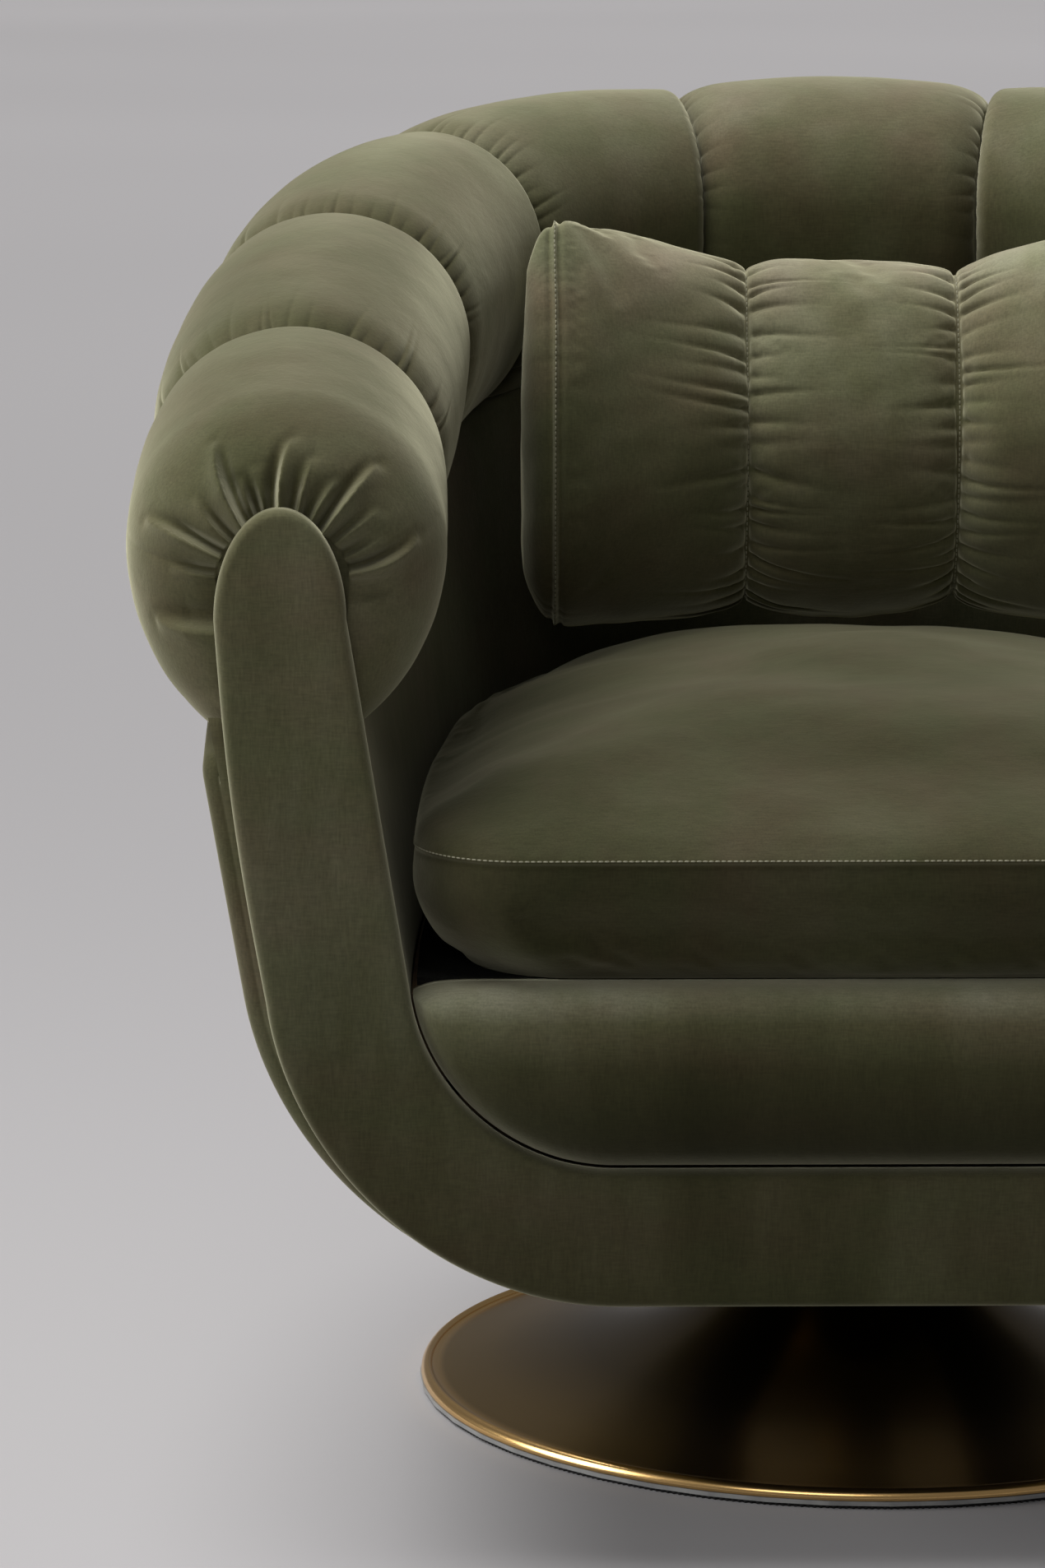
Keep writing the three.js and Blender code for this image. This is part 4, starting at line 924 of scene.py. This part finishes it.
def offset_rim(inside, y):
    """The rim's left half drawn in, from a value of y to the back's middle."""
    distance = np.linspace(0, HALF_PATH, 900)
    points = on_rim(distance, -inside, 0 * distance)[:, :2]
    keep = points[:, 1] > y
    x = np.interp(y, points[:, 1], points[:, 0])
    return np.vstack([[x, y], points[keep]])


def cushion_plan(inset, count=900):
    edge = CUSHION_SIDE_IN + inset
    front = CUSHION_FRONT + inset
    side = offset_rim(edge, front + CUSHION_CORNER)
    angle = np.linspace(0, math.pi / 2, 24)[:-1]
    corner = np.stack([side[0, 0] + CUSHION_CORNER * (1 - np.sin(angle)),
                       front + CUSHION_CORNER * (1 - np.cos(angle))], 1)
    half = np.vstack([[0, front], corner, side])
    half = dense(half, count // 2 + 1)
    return np.vstack([half, half[-2:0:-1] * np.array([-1, 1])])


def seat_cushion():
    """Rings from the middle of the underside, up the boxing and in to the middle of the top."""
    bottom = DECK + 0.3 * MM
    seam = bottom + CUSHION_SEAM_RISE
    back = cushion_plan(0)[:, 1].max()
    centre = np.array([0, (CUSHION_FRONT + back) / 2])
    rings = []
    drop = 1 - (1 - np.linspace(0, 1, 60)) ** 1.6
    tuck = 30 * MM * (1 - np.sin(drop * math.pi / 2)) ** 1.9
    for share in np.linspace(0.03, 0.97, 14):
        plan = (cushion_plan(tuck[0]) - centre) * share + centre
        rings.append(np.column_stack([plan, np.full(len(plan), bottom)]))
    for inset, height in zip(tuck, bottom + drop * CUSHION_SEAM_RISE):
        plan = cushion_plan(inset)
        rings.append(np.column_stack([plan, np.full(len(plan), height)]))
    seam_ring = len(rings) - 1
    seam_plan = cushion_plan(0)
    tangent = np.roll(seam_plan, -1, 0) - np.roll(seam_plan, 1, 0)
    to_front = np.abs(tangent[:, 0]) / np.linalg.norm(tangent, axis=1) * (seam_plan[:, 1] < 0)
    for _ in range(3):
        to_front = np.convolve(np.pad(to_front, 20, mode="wrap"), np.ones(41) / 41, "valid")
    for inward in (np.linspace(0, 1, 110) ** 2.1)[1:-1]:
        share = 1 - inward
        plan = (seam_plan - centre) * share + centre
        side_rise = (1 - share ** 2) ** 0.48
        front_rise = 1 - (1 - np.minimum(inward / 0.62, 1)) ** 2.3
        rise = side_rise * (1 - to_front) + (0.93 * front_rise + 0.07 * side_rise) * to_front
        rings.append(np.column_stack([plan, seam + CUSHION_CROWN * rise]))
    return np.array(rings), seam_ring, to_front


rings, seam_ring, to_front = seat_cushion()
seam_height = rings[seam_ring, 0, 2]
to_seam = np.abs(rings[..., 2] - seam_height)
held = np.maximum(1 - smooth(to_seam / (20 * MM)), 1 - smooth((rings[..., 2] - DECK) / (25 * MM)))
from_middle = np.linalg.norm(rings[..., :2] - rings[-1, :, :2].mean(0), axis=-1)
shift = cloth_shift(rings, held, 3, 4, 9 * MM, slack=0.005)
loose = smooth((to_seam - (4 + 4 * to_front) * MM) / ((26 + 20 * to_front) * MM))
rings = rings + shift * (smooth(from_middle / (120 * MM)) * loose)[..., None]
normal = grid_normals(rings)
across = np.concatenate([[0], np.cumsum(np.linalg.norm(np.diff(rings, axis=0), axis=-1).mean(1))])
across = np.broadcast_to((across - across[seam_ring])[:, None], rings.shape[:2])
around = np.concatenate([[0], np.cumsum(np.linalg.norm(np.diff(rings[seam_ring], axis=0), axis=-1))])
around = np.broadcast_to(around, rings.shape[:2])
lift = 1.8 * MM * ripple(rings, 190 * MM, 21) + 0.5 * MM * ripple(rings, 60 * MM, 22)
lift = lift * smooth(np.abs(across) / (30 * MM))
above = across > 0
lift = lift + 0.8 * MM * gathers(around, np.abs(across), 19 * MM, 12 * MM, 23) * np.where(above, to_front, 0.5)
ridge = 1.4 * np.exp(-(across / (1.3 * MM)) ** 2) - 0.9 * np.exp(-((across + 3.0 * MM) / (1.5 * MM)) ** 2)
lift = lift + MM * ridge * to_front
lift = lift * smooth((rings[..., 2] - DECK - 0.3 * MM) / (6 * MM))
rings = rings + normal * lift[..., None]
cushion = outward(skin("seat_cushion_cover", rings))
finish(cushion, "seat_cushion", "seat_cushion", velvet_cushion)
line = np.vstack([rings[seam_ring], rings[seam_ring, :1]]) + np.array([0, 0, 0.5 * MM])
outside = np.vstack([normal[seam_ring], normal[seam_ring, :1]])
sew("seat_cushion_stitches", line, outside, "seat_cushion")


# Lumbar pillow

def pillow_columns():
    """Places across the pillow, close together beside its seams and ends."""
    end_seam = PILLOW_HALF_WIDTH - PILLOW_END_BAND
    breaks = [-PILLOW_HALF_WIDTH, -end_seam, -PILLOW_SEAM, PILLOW_SEAM, end_seam, PILLOW_HALF_WIDTH]
    places = [np.array([breaks[0]])]
    for low, high, count in zip(breaks, breaks[1:], (22, 80, 86, 80, 22)):
        share = (1 - np.cos(np.linspace(0, math.pi, count))) / 2
        places.append((low + (high - low) * share)[1:])
    return np.concatenate(places)


def pillow_rings(count=460):
    x = pillow_columns()
    reach = np.abs(x)[:, None]
    outward_share = reach / PILLOW_HALF_WIDTH
    to_seam = np.exp(-(np.abs(reach - PILLOW_SEAM) / (18 * MM)) ** 0.95)
    to_end = np.clip((reach - PILLOW_HALF_WIDTH + PILLOW_END_ROUND) / PILLOW_END_ROUND, 0, 1)
    close = np.sqrt(1 - (to_end * 0.97) ** 2.4)
    full_depth = PILLOW_THICKNESS - (PILLOW_THICKNESS - PILLOW_END_THICKNESS) * outward_share ** 2
    depth = (full_depth - 40 * MM * to_seam) * close
    full_height = PILLOW_HEIGHT + PILLOW_EAR * outward_share ** 2
    height = (full_height - 26 * MM * to_seam) * (0.6 + 0.4 * close)
    bow = PILLOW_BOW * outward_share ** 2
    centre_y = RIM_BACK - ROLL_HALF_WIDTH - PILLOW_BACK_GAP - PILLOW_THICKNESS / 2 - bow
    centre_z = DECK + 0.3 * MM + 148 * MM - PILLOW_SINK + full_height / 2
    angle = np.linspace(0, 2 * math.pi, count, endpoint=False)[None, :]
    power = 2 / 2.25
    cos, sin = np.cos(angle), np.sin(angle)
    lean = 1 - np.where(cos < 0, 0.42 * np.clip(sin, 0, 1) ** 1.1, 0)
    y = centre_y + np.sign(cos) * np.abs(cos) ** power * lean * depth / 2
    z = centre_z + np.sign(sin) * np.abs(sin) ** power * height / 2
    return np.stack([np.broadcast_to(x[:, None], y.shape), y, z], -1), reach


rings, reach = pillow_rings()
reach = np.broadcast_to(reach, rings.shape[:2])
end_seam = PILLOW_HALF_WIDTH - PILLOW_END_BAND
to_seam = np.minimum(np.abs(reach - PILLOW_SEAM), np.abs(reach - end_seam))
seam_hold = np.where(np.abs(reach - end_seam) < 40 * MM, 22 * MM, 7 * MM)
held = np.maximum(1 - smooth(to_seam / seam_hold), reach > PILLOW_HALF_WIDTH - 4 * MM)
free = smooth((60 * MM - rings[..., 1] + rings[..., 1].mean(1, keepdims=True)) / (50 * MM))
free = free * smooth((rings[..., 2] - 485 * MM) / (25 * MM))
shift = cloth_shift(rings, np.maximum(held, 1 - free), 3, 3, 9 * MM, slack=0.003)
rings = rings + shift * free[..., None]
normal = grid_normals(rings)
around = np.concatenate([[0], np.cumsum(np.linalg.norm(
    np.diff(rings[len(rings) // 2], axis=0), axis=-1))])
around = np.broadcast_to(around, rings.shape[:2])
lift = 1.3 * MM * ripple(rings, 100 * MM, 31) + 0.4 * MM * ripple(rings, 36 * MM, 32)
away = np.abs(reach - PILLOW_SEAM)
left_side = rings[..., 0] < 0
for inner in (True, False):
    for left in (True, False):
        here = ((reach < PILLOW_SEAM) == inner) & (left_side == left)
        deep = gathers(around, away, 13.5 * MM, 29 * MM, 40 + 2 * inner + left)
        lift = lift + np.where(here, 5.2 * MM * deep * smooth((away + 1 * MM) / (5 * MM)), 0)
lift = lift - 1.4 * MM * np.exp(-(away / (1.6 * MM)) ** 2)
away = np.abs(reach - end_seam)
lift = lift + 1.2 * MM * np.exp(-(away / (1.2 * MM)) ** 2)
lift = lift - 1.8 * MM * np.exp(-((away - 3.2 * MM) / (2.0 * MM)) ** 2)
lift = lift + 0.6 * MM * gathers(around, away, 14 * MM, 10 * MM, 35)
rings = rings + normal * lift[..., None]
pillow = outward(skin("lumbar_pillow_cover", rings))
finish(pillow, "lumbar_pillow", "lumbar_pillow", velvet_pillow)
for place, word in ((-end_seam, "left_end"), (-PILLOW_SEAM, "left"), (PILLOW_SEAM, "right"),
                    (end_seam, "right_end")):
    column = int(np.argmin(np.abs(pillow_columns() - place)))
    line = rings[column] + normal[column] * 0.1 * MM
    sew(f"lumbar_pillow_stitches_{word}", line, normal[column], "lumbar_pillow")


# Foot

def lathe(name, profile, sides):
    """A closed profile of radius and height, turned round the Z axis."""
    profile = np.asarray(profile)
    angle = np.linspace(0, 2 * math.pi, sides, endpoint=False)
    rings = np.stack([profile[:, 0] * np.cos(angle)[:, None],
                      profile[:, 0] * np.sin(angle)[:, None],
                      np.broadcast_to(profile[:, 1], (sides, len(profile)))], -1)
    rings = np.concatenate([rings, rings[:1]])
    return outward(skin(name, rings, cap_first=False, cap_last=False))


def foot_profile():
    bead_axis = FOOT_RADIUS - BEAD_RADIUS
    bead_height = FOOT_BOTTOM + BEAD_RADIUS
    edge = bead_axis - BEAD_RADIUS
    radius = edge - (edge - NECK_RADIUS) * np.sin(np.linspace(0, math.pi / 2, 90))
    share = (edge - radius) / (edge - NECK_RADIUS)
    rise = 0.28 * share + 0.72 * share ** 4.5
    height = bead_height + (NECK_HEIGHT - bead_height) * rise
    top = np.stack([radius, height], 1)
    inside = top - np.array([FOOT_SHEET, FOOT_SHEET / 2])
    tilt = np.radians(np.linspace(BEAD_TOP_TILT, BEAD_BOTTOM_TILT, 24))
    face_radius = 2 * BEAD_RADIUS / (math.sin(tilt[0]) - math.sin(tilt[-1]))
    face = np.stack([FOOT_RADIUS - face_radius * (1 - np.cos(tilt)),
                     FOOT_BOTTOM + face_radius * (np.sin(tilt) - math.sin(tilt[-1]))], 1)
    turn = np.linspace(0, math.pi / 2, 10)[1:-1]
    rolled = np.stack([face[0, 0] - (face[0, 0] - edge) * np.cos(turn),
                       bead_height + BEAD_RADIUS * np.sin(turn)], 1)
    bead = np.vstack([rolled, face])
    return np.vstack([top[::-1], bead, inside])


finish(lathe("foot_disc_skin", foot_profile(), 256), "foot_disc", "foot", brass)


def toothed_ring(node):
    """The rubber ring on the floor, cut into fine teeth round its outer edge."""
    low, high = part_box(node)
    outside, inside = high[0], high[0] - FLOOR_RING_WIDTH
    turn = np.arange(FLOOR_TEETH * 4)
    radius = np.where(turn % 4 < 2, outside, outside - FLOOR_TOOTH_DEPTH)
    profile = [(inside, low[2]), (radius, low[2]), (radius, high[2]), (inside, high[2])]
    angle = turn * 2 * math.pi / len(turn)
    rings = np.stack([np.stack([reach * np.cos(angle), reach * np.sin(angle),
                                np.full(len(turn), height)], 1) for reach, height in profile], 1)
    rings = np.concatenate([rings, rings[:1]])
    return outward(skin("floor_ring_teeth", rings, cap_first=False, cap_last=False))


finish(toothed_ring("floor_ring"), "floor_ring", "foot", black_rubber)


# Floor, light and camera

def floor():
    nodes = Nodes("floor_grey")
    cloud = nodes.noise(nodes.place(), 0.12, detail=1)
    nodes.link(nodes.ramp(cloud, [(0.3, (0.42, 0.408, 0.413)), (0.7, (0.45, 0.437, 0.442))]), "Base Color")
    nodes.set(Roughness=0.9, Specular_IOR_Level=0.0)
    radius = 60
    angle = np.linspace(0, 2 * math.pi, 96, endpoint=False)
    ring = np.stack([radius * np.cos(angle), radius * np.sin(angle), 0 * angle], 1)
    made = mesh_object("floor", ring, [list(range(len(ring)))])
    made.data.materials.append(nodes.material)


def lamp(kind, name, place, target, **settings):
    light = bpy.data.lights.new(name, kind)
    for key, value in settings.items():
        setattr(light, key, value)
    made = bpy.data.objects.new(name, light)
    bpy.context.collection.objects.link(made)
    made.location = place
    made.visible_camera = False
    direction = np.subtract(target, place)
    made.rotation_euler = (
        math.acos(-direction[2] / np.linalg.norm(direction)), 0,
        math.atan2(direction[1], direction[0]) - math.pi / 2)


floor()
lamp("SUN", "top_light", (-1.3, 0.3, 4), (0, 0, 0), energy=2.3, angle=math.radians(40))
lamp("AREA", "soft_box", (-0.8, -0.35, 1.95), (-0.1, -0.05, 0.45),
     energy=11.5, shape="RECTANGLE", size=1.1, size_y=0.9)
lamp("SUN", "left_light", (-3.4, -0.4, 1.2), (0, 0, 0), energy=1.5, angle=math.radians(34))
lamp("AREA", "front_light", (-1.0, -3.2, 1.9), (0, -0.2, 0.05),
     energy=12, shape="RECTANGLE", size=1.8, size_y=0.9)

world = bpy.data.worlds.new("studio")
world.use_nodes = True
background = world.node_tree.nodes["Background"]
background.inputs["Color"].default_value = (0.8, 0.79, 0.8, 1)
background.inputs["Strength"].default_value = 0.18
bpy.context.scene.world = world

camera_data = bpy.data.cameras.new("camera")
camera_data.sensor_width = 36
camera_data.lens = 6362.3 / 1906 * 36
camera = bpy.data.objects.new("camera", camera_data)
camera.location = (-0.2563, -3.2566, 0.9641)
camera.rotation_euler = (math.radians(90 - 10.0305), 0, math.radians(-0.7303))
bpy.context.collection.objects.link(camera)
bpy.context.scene.camera = camera
bpy.context.scene.view_settings.view_transform = "Standard"
